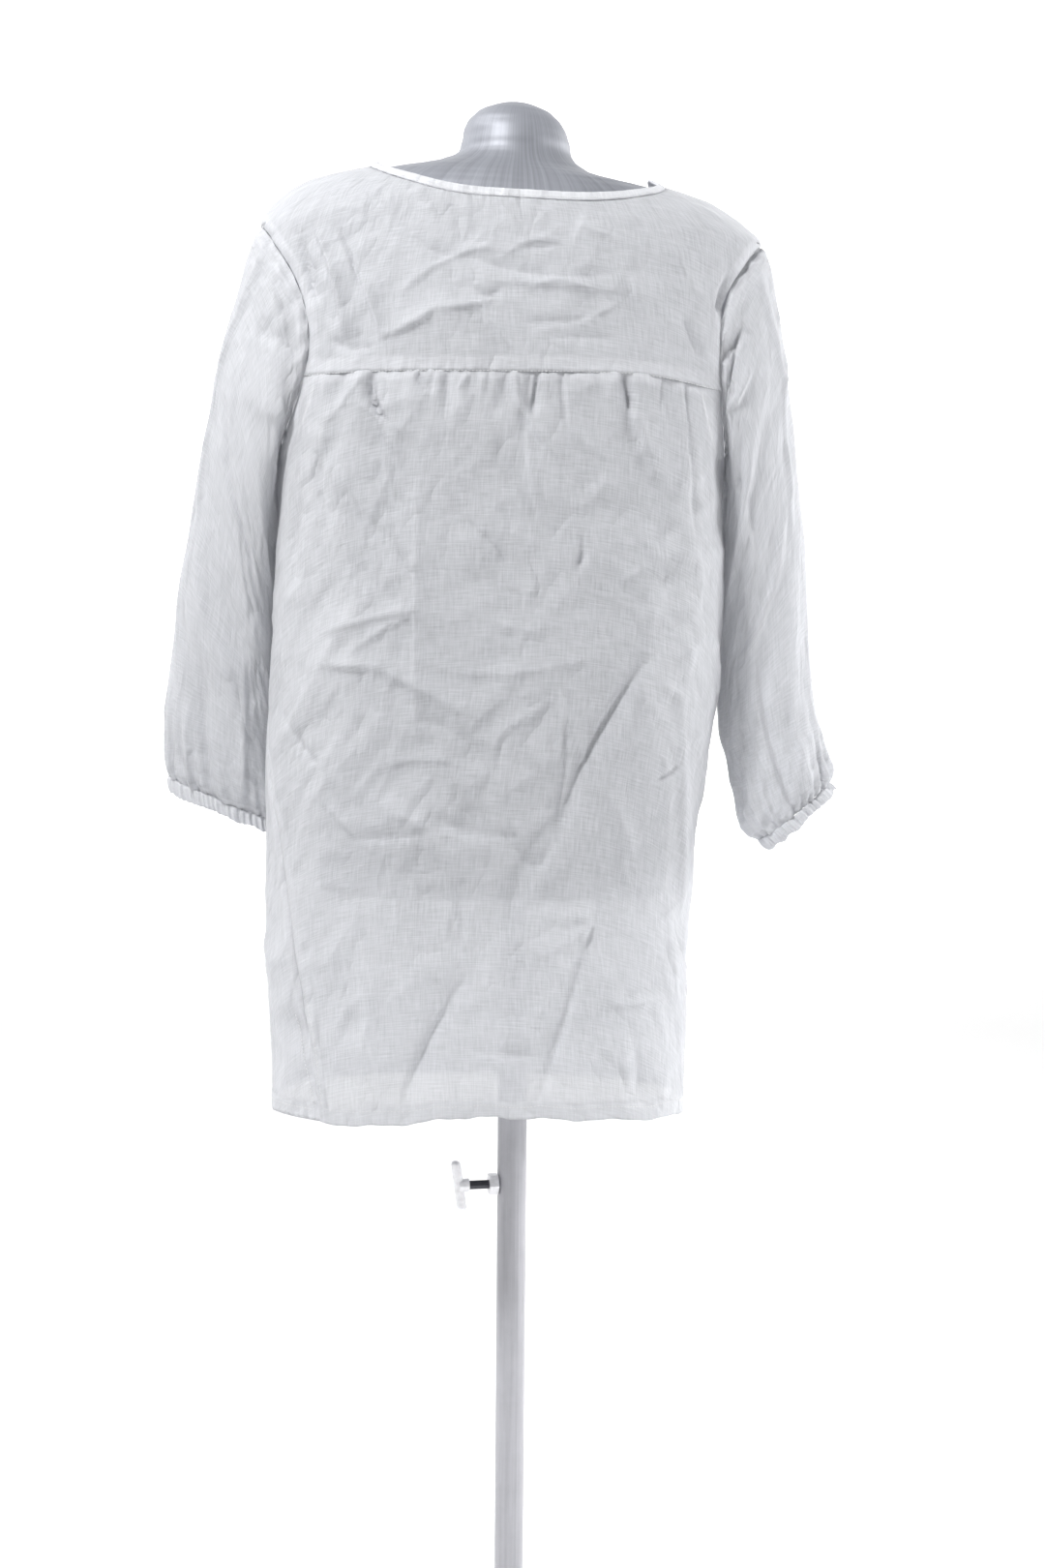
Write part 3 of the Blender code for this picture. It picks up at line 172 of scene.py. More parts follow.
BACK_CREASES = (
    (0.113, 1.052, 0.063, 0.974, 0.039, 0.903, 0.0042, -0.0016, 0.5),
    (0.046, 1.035, 0.041, 0.961, 0.035, 0.903, 0.0034, -0.0012, 0.5),
    (0.121, 0.947, 0.129, 0.951, 0.140, 0.958, 0.0030, -0.0012, 0.3),
    (0.124, 1.026, 0.132, 1.022, 0.140, 1.019, 0.0035, 0.0011, 0.0),
    (0.139, 1.019, 0.142, 0.921, 0.144, 0.822, 0.0040, 0.0015, 0.4),
    (-0.042, 0.778, -0.074, 0.720, -0.095, 0.669, 0.0050, -0.0016, 0.4),
    (0.077, 0.854, 0.044, 0.738, 0.021, 0.670, 0.0050, -0.0014, -0.4),
    (0.024, 0.829, 0.065, 0.825, 0.020, 0.796, 0.0060, 0.0012, 0.0),
    (0.074, 0.754, 0.107, 0.753, 0.140, 0.753, 0.0040, 0.0010, 0.3),
    (-0.033, 0.716, -0.004, 0.713, 0.025, 0.711, 0.0035, -0.0010, 0.3),
    (-0.016, 0.911, 0.017, 0.874, 0.027, 0.892, 0.0040, -0.0013, 0.4),
    (-0.162, 1.043, -0.141, 1.042, -0.121, 1.042, 0.0040, 0.0014, 0.4),
    (-0.119, 1.042, -0.084, 1.025, -0.027, 0.997, 0.0070, 0.0016, 0.3),
    (-0.201, 0.996, -0.180, 0.967, -0.166, 0.959, 0.0040, -0.0015, 0.3),
    (-0.112, 0.923, -0.092, 0.914, -0.071, 0.907, 0.0055, 0.0012, 0.0),
    (-0.141, 0.895, -0.108, 0.897, -0.071, 0.901, 0.0040, -0.0012, 0.4),
    (0.141, 1.289, 0.144, 1.222, 0.148, 1.149, 0.0035, -0.0016, 0.5),
    (-0.124, 1.289, -0.122, 1.266, -0.106, 1.246, 0.0026, -0.0022, 0.5),
    (-0.119, 1.286, -0.115, 1.262, -0.098, 1.238, 0.0032, 0.0018, 0.3),
    (-0.082, 1.289, -0.083, 1.282, -0.073, 1.274, 0.0024, -0.0018, 0.4),
    (-0.041, 1.288, -0.045, 1.283, -0.049, 1.276, 0.0026, 0.0016, 0.3),
    (-0.006, 1.289, 0.008, 1.253, 0.032, 1.219, 0.0034, 0.0018, 0.4),
    (0.016, 1.289, 0.013, 1.269, 0.012, 1.256, 0.0026, -0.0026, 0.4),
    (0.039, 1.289, 0.041, 1.268, 0.044, 1.245, 0.0030, 0.0016, 0.4),
    (0.087, 1.290, 0.091, 1.276, 0.094, 1.260, 0.0030, -0.0024, 0.5),
    (0.096, 1.262, 0.107, 1.231, 0.116, 1.199, 0.0050, 0.0020, 0.4),
    (-0.1584, 1.2306, -0.1681, 1.1983, -0.1574, 1.1661, 0.0050, -0.0015, 0.3),
    (-0.1535, 1.2170, -0.1315, 1.1801, -0.1070, 1.1536, 0.0055, 0.0014, 0.3),
    (-0.1154, 1.2229, -0.1060, 1.1930, -0.0940, 1.1643, 0.0045, 0.0011, 0.0),
    (0.0494, 1.1267, 0.0540, 1.1340, 0.0574, 1.1389, 0.0030, -0.0010, 0.0),
    (0.0902, 1.1173, 0.1000, 1.1250, 0.1105, 1.1296, 0.0040, 0.0011, 0.0),
    (0.1144, 1.1362, 0.1220, 1.1260, 0.1278, 1.1127, 0.0045, -0.0012, 0.0),
    (-0.0853, 1.1958, -0.0850, 1.0860, -0.0841, 0.9763, 0.0026, 0.0010, 0.4),
    (-0.150, 1.140, -0.120, 1.110, -0.098, 1.095, 0.0060, -0.0010, 0.2),
    (-0.030, 1.090, 0.000, 1.075, 0.035, 1.080, 0.0060, 0.0009, 0.3),
    (-0.060, 0.870, -0.045, 0.835, -0.050, 0.800, 0.0060, -0.0011, 0.2),
    (0.080, 0.920, 0.092, 0.880, 0.096, 0.840, 0.0060, 0.0010, 0.2),
    (-0.150, 0.800, -0.125, 0.760, -0.130, 0.715, 0.0070, 0.0012, 0.3),
    (0.100, 0.730, 0.108, 0.695, 0.105, 0.665, 0.0060, -0.0012, 0.3),
    (-0.015, 0.690, -0.012, 0.675, -0.010, 0.662, 0.0050, 0.0012, 0.0),
    (-0.163, 1.069, -0.127, 1.081, -0.086, 1.089, 0.0042, 0.0013, 0.4),
    (-0.139, 1.053, -0.119, 1.069, -0.090, 1.085, 0.0034, 0.0012, 0.3),
    (-0.046, 1.166, -0.021, 1.146, -0.009, 1.126, 0.0036, -0.0012, 0.4),
    (0.051, 1.158, 0.055, 1.142, 0.051, 1.122, 0.0032, -0.0013, 0.3),
    (0.108, 1.150, 0.116, 1.134, 0.124, 1.118, 0.0040, 0.0012, 0.3),
    (0.007, 1.247, 0.011, 1.207, 0.019, 1.166, 0.0042, 0.0013, 0.4),
    (-0.135, 1.263, -0.111, 1.239, -0.101, 1.207, 0.0040, 0.0014, 0.4),
    (-0.184, 1.182, -0.192, 1.150, -0.187, 1.118, 0.0050, -0.0012, 0.3),
    (-0.070, 1.045, -0.013, 1.037, 0.068, 1.053, 0.0050, 0.0010, 0.3),
    (-0.086, 0.996, -0.054, 0.988, -0.030, 0.964, 0.0044, -0.0012, 0.4),
    (-0.021, 0.972, -0.005, 0.992, 0.019, 1.008, 0.0044, 0.0012, 0.3),
    (0.031, 1.029, 0.051, 0.980, 0.068, 0.948, 0.0046, 0.0012, 0.4),
    (-0.167, 0.931, -0.143, 0.907, -0.119, 0.883, 0.0050, 0.0013, 0.4),
    (-0.111, 0.956, -0.078, 0.964, -0.038, 0.956, 0.0044, 0.0011, 0.4),
    (-0.070, 0.915, -0.034, 0.903, 0.011, 0.899, 0.0046, -0.0011, 0.3),
    (0.076, 0.939, 0.092, 0.907, 0.100, 0.875, 0.0046, 0.0012, 0.3),
)
YOKE_FOLDS = (
    (-0.1950, 1.3980, -0.1780, 1.3650, -0.1660, 1.3250, 0.010, 0.0025, 0.4),
    (-0.1150, 1.3199, -0.0642, 1.3420, -0.0223, 1.3470, 0.010, 0.0020, 0.3),
    (0.0200, 1.3700, 0.0700, 1.3600, 0.1200, 1.3620, 0.011, 0.0015, 0.2),
)
YOKE_CREASES = (
    (-0.114, 1.319, -0.090, 1.329, -0.070, 1.342, 0.0032, 0.0010, 0.4),
    (-0.070, 1.342, -0.046, 1.344, -0.022, 1.348, 0.0030, 0.0009, 0.4),
    (-0.010, 1.397, 0.012, 1.394, 0.031, 1.397, 0.0040, -0.0005, 0.3),
    (-0.022, 1.365, 0.031, 1.362, 0.084, 1.358, 0.0040, 0.0007, 0.4),
    (0.084, 1.350, 0.068, 1.340, 0.051, 1.330, 0.0040, 0.0009, 0.0),
    (0.019, 1.318, 0.052, 1.319, 0.084, 1.318, 0.0040, -0.0007, 0.3),
    (-0.174, 1.412, -0.155, 1.364, -0.147, 1.320, 0.0036, 0.0018, 0.5),
    (-0.187, 1.408, -0.179, 1.372, -0.171, 1.350, 0.0055, -0.0022, 0.3),
    (-0.153, 1.412, -0.143, 1.388, -0.135, 1.364, 0.0040, -0.0011, 0.5),
    (-0.038, 1.361, -0.026, 1.353, -0.014, 1.361, 0.0040, -0.0009, 0.0),
    (0.176, 1.378, 0.172, 1.358, 0.170, 1.348, 0.0036, -0.0022, 0.4),
    (0.120, 1.405, 0.136, 1.380, 0.148, 1.350, 0.0060, 0.0009, 0.3),
    (0.050, 1.420, 0.066, 1.408, 0.090, 1.402, 0.0050, 0.0007, 0.0),
    (-0.090, 1.405, -0.070, 1.390, -0.045, 1.385, 0.0055, -0.0007, 0.2),
    (-0.140, 1.385, -0.127, 1.352, -0.114, 1.313, 0.0034, 0.0011, 0.5),
    (-0.098, 1.357, -0.054, 1.386, -0.018, 1.392, 0.0034, 0.0007, 0.4),
    (-0.014, 1.386, 0.009, 1.399, 0.035, 1.399, 0.0034, 0.0007, 0.3),
    (-0.045, 1.386, 0.026, 1.370, 0.080, 1.375, 0.0036, -0.0007, 0.4),
    (0.009, 1.359, 0.035, 1.366, 0.062, 1.355, 0.0034, 0.0007, 0.3),
    (0.095, 1.370, 0.100, 1.350, 0.111, 1.328, 0.0036, 0.0009, 0.4),
    (0.000, 1.332, 0.035, 1.332, 0.075, 1.339, 0.0034, -0.0007, 0.3),
    (-0.032, 1.346, -0.018, 1.323, -0.005, 1.310, 0.0036, 0.0008, 0.4),
    (-0.161, 1.319, -0.143, 1.310, -0.121, 1.312, 0.0038, -0.0009, 0.3),
    (0.140, 1.337, 0.147, 1.319, 0.158, 1.300, 0.0040, -0.0012, 0.4),
)
FRONT_FOLDS = (
    (-0.0700, 1.2900, -0.0900, 1.0900, -0.1050, 0.8200, 0.016, -0.0040, 0.3),
    (0.0300, 1.2400, 0.0450, 1.0000, 0.0350, 0.6800, 0.018, -0.0040, -0.2),
    (-0.0200, 1.1500, -0.0300, 0.9000, -0.0350, 0.6600, 0.018, 0.0035, 0.2),
    (0.1150, 1.2700, 0.1150, 1.0500, 0.1000, 0.8600, 0.015, -0.0035, 0.3),
    (-0.1500, 1.1800, -0.1450, 0.9500, -0.1500, 0.7000, 0.016, 0.0030, 0.0),
)
FRONT_CREASES = (
    (-0.140, 1.330, -0.105, 1.300, -0.070, 1.290, 0.0060, 0.0012, 0.3),
    (0.125, 1.325, 0.095, 1.300, 0.070, 1.285, 0.0060, 0.0012, 0.3),
    (-0.095, 1.372, -0.070, 1.345, -0.062, 1.318, 0.0050, -0.0008, 0.2),
    (0.060, 1.360, 0.048, 1.322, 0.058, 1.290, 0.0055, 0.0009, 0.2),
    (-0.100, 1.200, -0.060, 1.160, -0.030, 1.150, 0.0060, 0.0011, 0.3),
    (0.060, 1.170, 0.090, 1.140, 0.120, 1.135, 0.0060, 0.0011, 0.3),
    (-0.130, 1.060, -0.090, 1.045, -0.050, 1.050, 0.0055, -0.0012, 0.3),
    (0.000, 1.020, 0.040, 1.000, 0.085, 1.005, 0.0055, 0.0012, 0.3),
    (0.090, 0.960, 0.060, 0.900, 0.050, 0.850, 0.0060, -0.0012, 0.3),
    (-0.060, 0.930, -0.080, 0.880, -0.075, 0.820, 0.0060, 0.0012, 0.3),
    (-0.120, 0.800, -0.090, 0.780, -0.060, 0.785, 0.0055, 0.0010, 0.3),
    (0.010, 0.760, 0.050, 0.750, 0.090, 0.755, 0.0050, -0.0010, 0.3),
    (-0.100, 0.730, -0.095, 0.695, -0.090, 0.665, 0.0060, 0.0012, 0.2),
)
FOLD_END, FOLD_REACH, FOLD_POINTS, FOLD_STEPS = 0.06, 4, 24, 2.5
BACK_CREASE_POWER, FRONT_CREASE_POWER, SLEEVE_CREASE_POWER = 1.4, 1.6, 1.7
YOKE_CREASE_SHARE = 1.5
YOKE_FADE, PANEL_FADE = 0.02, 0.03
BACK_SIDE_FADE, FRONT_SIDE_FADE = 0.12, 0.055
FRONT_FOLD_TOP, FRONT_FOLD_FADE = 1.360, 0.05

# Small creases all over: lump size and share of each layer, and their depth on each piece
CRUMPLE_LAYERS = ((0.070, 1.0), (0.034, 0.55), (0.017, 0.26))
CRUMPLE_TURN = ((0.81, 0.59), (-0.59, 0.81))
CRUMPLE_STRETCH, CRUMPLE_WARP, CRUMPLE_WARP_SIZE, CRUMPLE_FIELD = 0.72, 0.010, 0.05, 0.09
YOKE_CRUMPLE, BACK_CRUMPLE, SLEEVE_CRUMPLE = 0.0038, 0.0075, 0.0065
FRONT_CRUMPLE_TOP, FRONT_CRUMPLE_MORE, FRONT_CRUMPLE_FROM, FRONT_CRUMPLE_FADE = 0.0030, 0.0040, 1.30, 0.15

# Seams and turned edges: how deep the cloth dips, how wide it lies double and how much thicker it is
SEAM_DIP, SEAM_DIP_WIDTH = 0.0011, 0.0030
ARMHOLE_DIP, ARMHOLE_DIP_WIDTH = 0.0013, 0.0032
NECK_DIP, NECK_DIP_WIDTH = 0.0010, 0.004
SEAM_DOUBLED, SEAM_ALLOWANCE, ALLOWANCE_FADE = 0.45, 0.009, 0.004
CLOSED_FADE, VENT_TURN, TURN_STEP = 0.004, 0.008, 0.001
EDGE_CALM, HEM_CALM, CREASE_CALM = 0.02, 0.04, 0.012
YOKE_CALM_LEAST, SIDE_CALM_LEAST, HEM_CALM_LEAST, CAP_CALM_LEAST = 0.2, 0.3, 0.35, 0.35

# The yoke's turned edge: raise, its width and fade; its stitch line; its wave, and how far it hangs over
YOKE_EDGE_RAISE, YOKE_EDGE_WIDTH, YOKE_EDGE_FADE = 0.0009, 0.0035, 0.002
YOKE_STITCH_DEPTH, YOKE_STITCH_AT, YOKE_STITCHES_AT = 0.0007, 0.0032, 0.0034
YOKE_WAVE, YOKE_WAVES, YOKE_WAVE_REACH, YOKE_OVERHANG = 0.0004, 620, 0.006, 0.0012
UNDER_YOKE_DIP_WIDTH, UNDER_YOKE_DOUBLED, UNDER_YOKE_FADE = 0.0035, 0.005, 0.006
TURN_LINE, TURN_LINE_WIDTH = 0.0005, 0.0011
HEM_THICKER, YOKE_EDGE_THICKER = 1.7, 1.6
SLOPE_RUN = 0.8
METRES_PER_DEGREE = 0.0033

# Sleeves: a section from its outer to its inner point, with its middle and depth along Y
SLEEVE_COLUMNS = ("outer_x", "outer_z", "inner_x", "inner_z", "middle_y", "back_depth", "front_depth",
                  "squareness")
SLEEVES = {
    -1: (
        (-0.2273, 1.4242, -0.2110, 1.2220, 0.000, 0.079, 0.074, 2.05),
        (-0.2330, 1.4135, -0.2165, 1.2150, 0.000, 0.079, 0.075, 2.10),
        (-0.2390, 1.3980, -0.2168, 1.2000, 0.001, 0.078, 0.075, 2.20),
        (-0.2485, 1.3680, -0.2165, 1.1780, 0.008, 0.076, 0.073, 2.40),
        (-0.2600, 1.3300, -0.2172, 1.1480, 0.016, 0.073, 0.070, 2.50),
        (-0.2696, 1.2850, -0.2180, 1.1150, 0.024, 0.069, 0.066, 2.50),
        (-0.2812, 1.2350, -0.2185, 1.0800, 0.032, 0.064, 0.062, 2.50),
        (-0.2920, 1.1750, -0.2190, 1.0440, 0.040, 0.059, 0.057, 2.50),
        (-0.3047, 1.1100, -0.2180, 1.0080, 0.048, 0.053, 0.052, 2.45),
        (-0.3146, 1.0430, -0.2170, 0.9700, 0.057, 0.047, 0.047, 2.40),
        (-0.3239, 0.9900, -0.2160, 0.9350, 0.067, 0.042, 0.043, 2.35),
        (-0.3243, 0.9600, -0.2150, 0.9120, 0.073, 0.037, 0.038, 2.30),
        (-0.3213, 0.9340, -0.2135, 0.8905, 0.075, 0.030, 0.031, 2.25),
    ),
    1: (
        (0.2118, 1.4114, 0.1800, 1.2220, 0.000, 0.067, 0.074, 2.05),
        (0.2162, 1.4060, 0.1850, 1.2150, 0.000, 0.067, 0.075, 2.10),
        (0.2208, 1.3940, 0.1850, 1.2000, 0.000, 0.067, 0.075, 2.20),
        (0.2260, 1.3680, 0.1845, 1.1780, 0.006, 0.068, 0.073, 2.30),
        (0.2323, 1.3350, 0.1845, 1.1480, 0.014, 0.069, 0.070, 2.40),
        (0.2386, 1.2950, 0.1848, 1.1150, 0.022, 0.069, 0.067, 2.40),
        (0.2450, 1.2450, 0.1848, 1.0800, 0.028, 0.066, 0.063, 2.40),
        (0.2515, 1.1900, 0.1838, 1.0480, 0.030, 0.062, 0.059, 2.40),
        (0.2602, 1.1250, 0.1830, 1.0200, 0.030, 0.057, 0.055, 2.40),
        (0.2657, 1.0500, 0.1850, 0.9850, 0.026, 0.053, 0.051, 2.35),
        (0.2705, 1.0000, 0.1925, 0.9560, 0.020, 0.049, 0.048, 2.30),
        (0.2775, 0.9754, 0.1985, 0.9290, 0.012, 0.046, 0.047, 2.30),
        (0.2830, 0.9550, 0.2070, 0.8990, 0.006, 0.043, 0.044, 2.25),
        (0.2800, 0.9395, 0.2195, 0.8875, 0.003, 0.038, 0.040, 2.20),
    ),
}
SLEEVE_BLEND = 5
CUFF_ENDS = {
    -1: (-0.3190, 0.9190, -0.2120, 0.8780, 0.075, 0.029, 0.030, 2.20),
    1: (0.2862, 0.9335, 0.2285, 0.8785, 0.003, 0.039, 0.041, 2.20),
}

# Sleeve creases, each through three places by swing in degrees (0 outer edge, 90 back, 180 inner edge)
# and share down the sleeve, then its half width, depth and lean
SLEEVE_CREASES = {
    -1: (
        (30, 0.02, 40, 0.25, 44, 0.62, 0.0045, 0.0018, 0.5),
        (95, 0.06, 80, 0.16, 62, 0.24, 0.0070, -0.0020, 0.3),
        (120, 0.12, 105, 0.20, 78, 0.32, 0.0080, 0.0016, 0.3),
        (60, 0.36, 85, 0.44, 120, 0.47, 0.0060, -0.0013, 0.3),
        (50, 0.58, 75, 0.66, 110, 0.67, 0.0070, 0.0014, 0.2),
        (70, 0.72, 80, 0.84, 84, 0.99, 0.0060, -0.0018, 0.3),
        (110, 0.66, 112, 0.84, 106, 0.99, 0.0060, 0.0016, 0.3),
        (240, 0.10, 262, 0.30, 270, 0.55, 0.0080, 0.0016, 0.3),
        (300, 0.30, 285, 0.45, 255, 0.52, 0.0070, -0.0014, 0.3),
        (250, 0.68, 262, 0.84, 266, 0.99, 0.0060, -0.0016, 0.3),
    ),
    1: (
        (96, 0.02, 88, 0.10, 70, 0.18, 0.0050, -0.0026, 0.5),
        (110, 0.07, 96, 0.12, 72, 0.15, 0.0040, -0.0020, 0.5),
        (118, 0.10, 100, 0.17, 80, 0.22, 0.0050, 0.0020, 0.3),
        (40, 0.08, 46, 0.30, 52, 0.55, 0.0060, 0.0014, 0.4),
        (130, 0.24, 110, 0.34, 92, 0.50, 0.0070, -0.0014, 0.3),
        (60, 0.50, 90, 0.58, 118, 0.60, 0.0060, 0.0013, 0.3),
        (100, 0.62, 96, 0.80, 92, 0.99, 0.0055, -0.0018, 0.4),
        (70, 0.70, 72, 0.84, 74, 0.99, 0.0060, 0.0015, 0.3),
        (250, 0.10, 268, 0.30, 280, 0.50, 0.0080, 0.0014, 0.3),
        (290, 0.60, 275, 0.70, 250, 0.74, 0.0070, -0.0014, 0.3),
        (262, 0.74, 266, 0.86, 268, 0.99, 0.0060, -0.0016, 0.3),
    ),
}
SLEEVE_ROUND, SLEEVE_LENGTH = 0.45, 0.52
SLEEVE_JOIN, WRIST_CALM = 30, 0.01
CAP_GATHER, CAP_WAVES, CAP_REACH = 0.0008, 31, 0.018
WRIST_DIP, WRIST_DIP_WIDTH, WRIST_DOUBLED, WRIST_FADE = 0.0008, 0.003, 0.006, 0.003
SLEEVE_SEAM_AT, SLEEVE_SEAM_DEGREES, SLEEVE_SEAM_DEPTH, SLEEVE_SEAM_FROM = 180, 1.6, 0.0009, 0.004

# Gathers into the cuffs, in the cuffs and in the binding: waves round, depth and, on sleeves, fade;
# their phases are drawn from one full turn
PHASES = 6.28
SLEEVE_GATHERS = ((23, 0.0024, 0.055), (37, 0.0014, 0.035), (11, 0.0017, 0.110))
CUFF_GATHERS = ((29, 0.0010), (51, 0.0012), (83, 0.0008))
CUFF_TWIST, CUFF_EDGE_WAVE = 1.5, 0.0012
BINDING_GATHERS = ((61, 0.00022), (97, 0.00016), (23, 0.00018))

# Rings of the dress form, by its outside
FORM_RINGS = (
    (0.842, -0.0200, 0.1560, 0.104, 0.098, 2.30, 0.0),
    (0.858, -0.0200, 0.1560, 0.104, 0.098, 2.30, 0.0),
    (0.925, -0.0185, 0.1570, 0.106, 0.100, 2.30, 0.0),
    (1.030, -0.0130, 0.1290, 0.090, 0.090, 2.20, 0.0),
    (1.090, -0.0115, 0.1330, 0.094, 0.098, 2.20, 0.0),
    (1.180, -0.0095, 0.1510, 0.106, 0.114, 2.20, 0.0),
    (1.300, -0.0090, 0.1760, 0.109, 0.102, 2.20, 0.0),
    (1.360, -0.0100, 0.1930, 0.104, 0.092, 2.20, 0.4),
    (1.400, -0.0095, 0.2050, 0.098, 0.085, 2.15, 1.2),
    (1.4188, -0.0077, 0.2110, 0.095, 0.081, 2.10, 1.7),
    (1.4295, -0.0088, 0.2060, 0.0925, 0.079, 2.10, 2.1),
    (1.4396, -0.0096, 0.1950, 0.0895, 0.0765, 2.10, 2.5),
    (1.4476, -0.0093, 0.1820, 0.086, 0.0735, 2.05, 2.8),
    (1.4539, -0.0087, 0.1680, 0.082, 0.0705, 2.05, 2.9),
    (1.4606, -0.0080, 0.1450, 0.077, 0.067, 2.00, 3.1),
    (1.4660, -0.0075, 0.1220, 0.072, 0.063, 2.00, 3.4),
    (1.4702, -0.0068, 0.0980, 0.067, 0.060, 2.00, 3.9),
    (1.4748, -0.0066, 0.0765, 0.061, 0.057, 2.00, 4.1),
    (1.4812, -0.0060, 0.0600, 0.055, 0.054, 2.00, 3.4),
    (1.4890, -0.0048, 0.0500, 0.051, 0.052, 2.00, 2.0),
    (1.5000, -0.0043, 0.0472, 0.049, 0.050, 2.00, 1.0),
    (1.5110, -0.0052, 0.0442, 0.045, 0.047, 2.00, 1.0),
    (1.5200, -0.0058, 0.0382, 0.039, 0.041, 2.00, 1.0),
    (1.5275, -0.0058, 0.0285, 0.029, 0.030, 2.00, 1.5),
    (1.5325, -0.0045, 0.0150, 0.016, 0.016, 2.00, 2.0),
)
FORM_TOP = (-0.0035, 0.0, 1.5343)

# How finely each piece is made: columns across or round, rows down
BACK_COLUMNS, BACK_ARMHOLE_ROWS, BACK_ROWS = 260, 33, 258
YOKE_COLUMNS, YOKE_SHOULDER_ROWS, YOKE_ARMHOLE_ROWS = 260, 24, 65
FRONT_COLUMNS, FRONT_SHOULDER_ROWS, FRONT_ARMHOLE_ROWS, FRONT_ROWS = 180, 16, 65, 180
SLEEVE_COLUMNS_ROUND, SLEEVE_ROWS = 200, 170
CUFF_STEPS_ROUND, CUFF_SECTION_STEPS = 420, 20
BINDING_COLUMNS, BINDING_SECTION_STEPS = 240, 20
FORM_COLUMNS_ROUND, FORM_ROWS_PER_RING = 104, 7
FORM_CAP_SHARES = (0.35, 0.68, 0.93)

# Stitches: share of the pitch that shows, radius, lift from the cloth, sides, and how far the ends sink
STITCH_SHARE, STITCH_RADIUS, STITCH_LIFT, STITCH_SIDES, STITCH_SINK = 0.68, 0.00026, 0.0001, 6, 0.6
HEM_STITCHES_IN = 0.002
# Places along a stitch, and its thickness there
STITCH_PROFILE = ((-1.0, 0.25), (-0.8, 0.8), (0.0, 1.0), (0.8, 0.8), (1.0, 0.25))

# Camera: a long way behind the blouse, a little above its middle
CAMERA_PLACE = (0.0, -2.1, 1.10)
CAMERA_PITCH, CAMERA_YAW, CAMERA_ROLL = math.radians(4.5), math.radians(0.18), math.radians(0.5)
CAMERA_LENS, CAMERA_SENSOR = 53.82, 36.0

# Lights: name, place, size and share of the key light's power
LIGHT_AIM = (0.0, 0.0, 1.15)
LIGHTS = (
    ("key_light", (-1.1, -1.4, 2.9), 0.42, 1.0),
    ("fill_light", (2.6, -0.7, 1.9), 1.4, 0.34),
    ("side_light", (2.3, 0.1, 1.35), 1.0, 0.46),
    ("rim_light_left", (-2.3, 1.5, 1.9), 1.2, 0.18),
    ("rim_light_right", (2.3, 1.5, 1.9), 1.2, 0.45),
    ("top_light", (-1.5, 0.1, 3.0), 0.9, 0.28),
)
FLOOR_LEVEL, WALL_LOW, WALL_HIGH = -0.0005, -1.0, 7.0
FLOOR_GLOW, WALL_GLOW = 0.22, 0.85
FOLDED_SEE_THROUGH = 0.08

SEEDS = {"back": 11, "yoke": 12, "front": 13, -1: 14, 1: 15, "gathers": 16, "binding": 31}
CUFF_SEED_STEP = 10
SURFACES = {}


def column(names, rows, name):
    """One named column of a table."""
    return np.array([row[names.index(name)] for row in rows], float)


def smooth_value(knots, values, at):
    """Read a table smoothly between its rows, with no overshoot."""
    step = np.diff(knots)
    secant = np.diff(values) / step
    slope = np.empty(len(knots))
    slope[0], slope[-1] = secant[0], secant[-1]
    product = secant[:-1] * secant[1:]
    total = np.where(product > 0, secant[:-1] + secant[1:], 1.0)
    slope[1:-1] = np.where(product > 0, 2 * product / total, 0.0)
    at = np.clip(np.asarray(at, float), knots[0], knots[-1])
    cell = np.clip(np.searchsorted(knots, at) - 1, 0, len(step) - 1)
    t = (at - knots[cell]) / step[cell]
    before = values[cell] + t * step[cell] * slope[cell] * (1 - t)
    after = values[cell + 1] - (1 - t) * step[cell] * slope[cell + 1] * t
    weight = t * t * (3 - 2 * t)
    return before * (1 - weight) + after * weight


def read_table(names, rows, key, name, at):
    """One column of a table, read smoothly by another one."""
    return smooth_value(column(names, rows, key), column(names, rows, name), at)


def smooth_step(value):
    """0 below 0, 1 above 1, and a smooth rise between."""
    value = np.clip(value, 0.0, 1.0)
    return value * value * (3 - 2 * value)


def near_edge(distance, width, fade):
    """1 up to this distance from an edge, and a smooth fall to 0 past it."""
    return 1 - smooth_step((distance - width) / fade)


def at_least(low, share):
    """A share from 0 to 1, raised so that it starts at low."""
    return low + (1 - low) * share


def groove(distance, width):
    """1 on a line, with a soft fall beside it."""
    return np.exp(-(distance / width) ** 2)


def unit(vectors):
    """The vectors at length one."""
    return vectors / np.maximum(np.linalg.norm(vectors, axis=-1, keepdims=True), 1e-12)


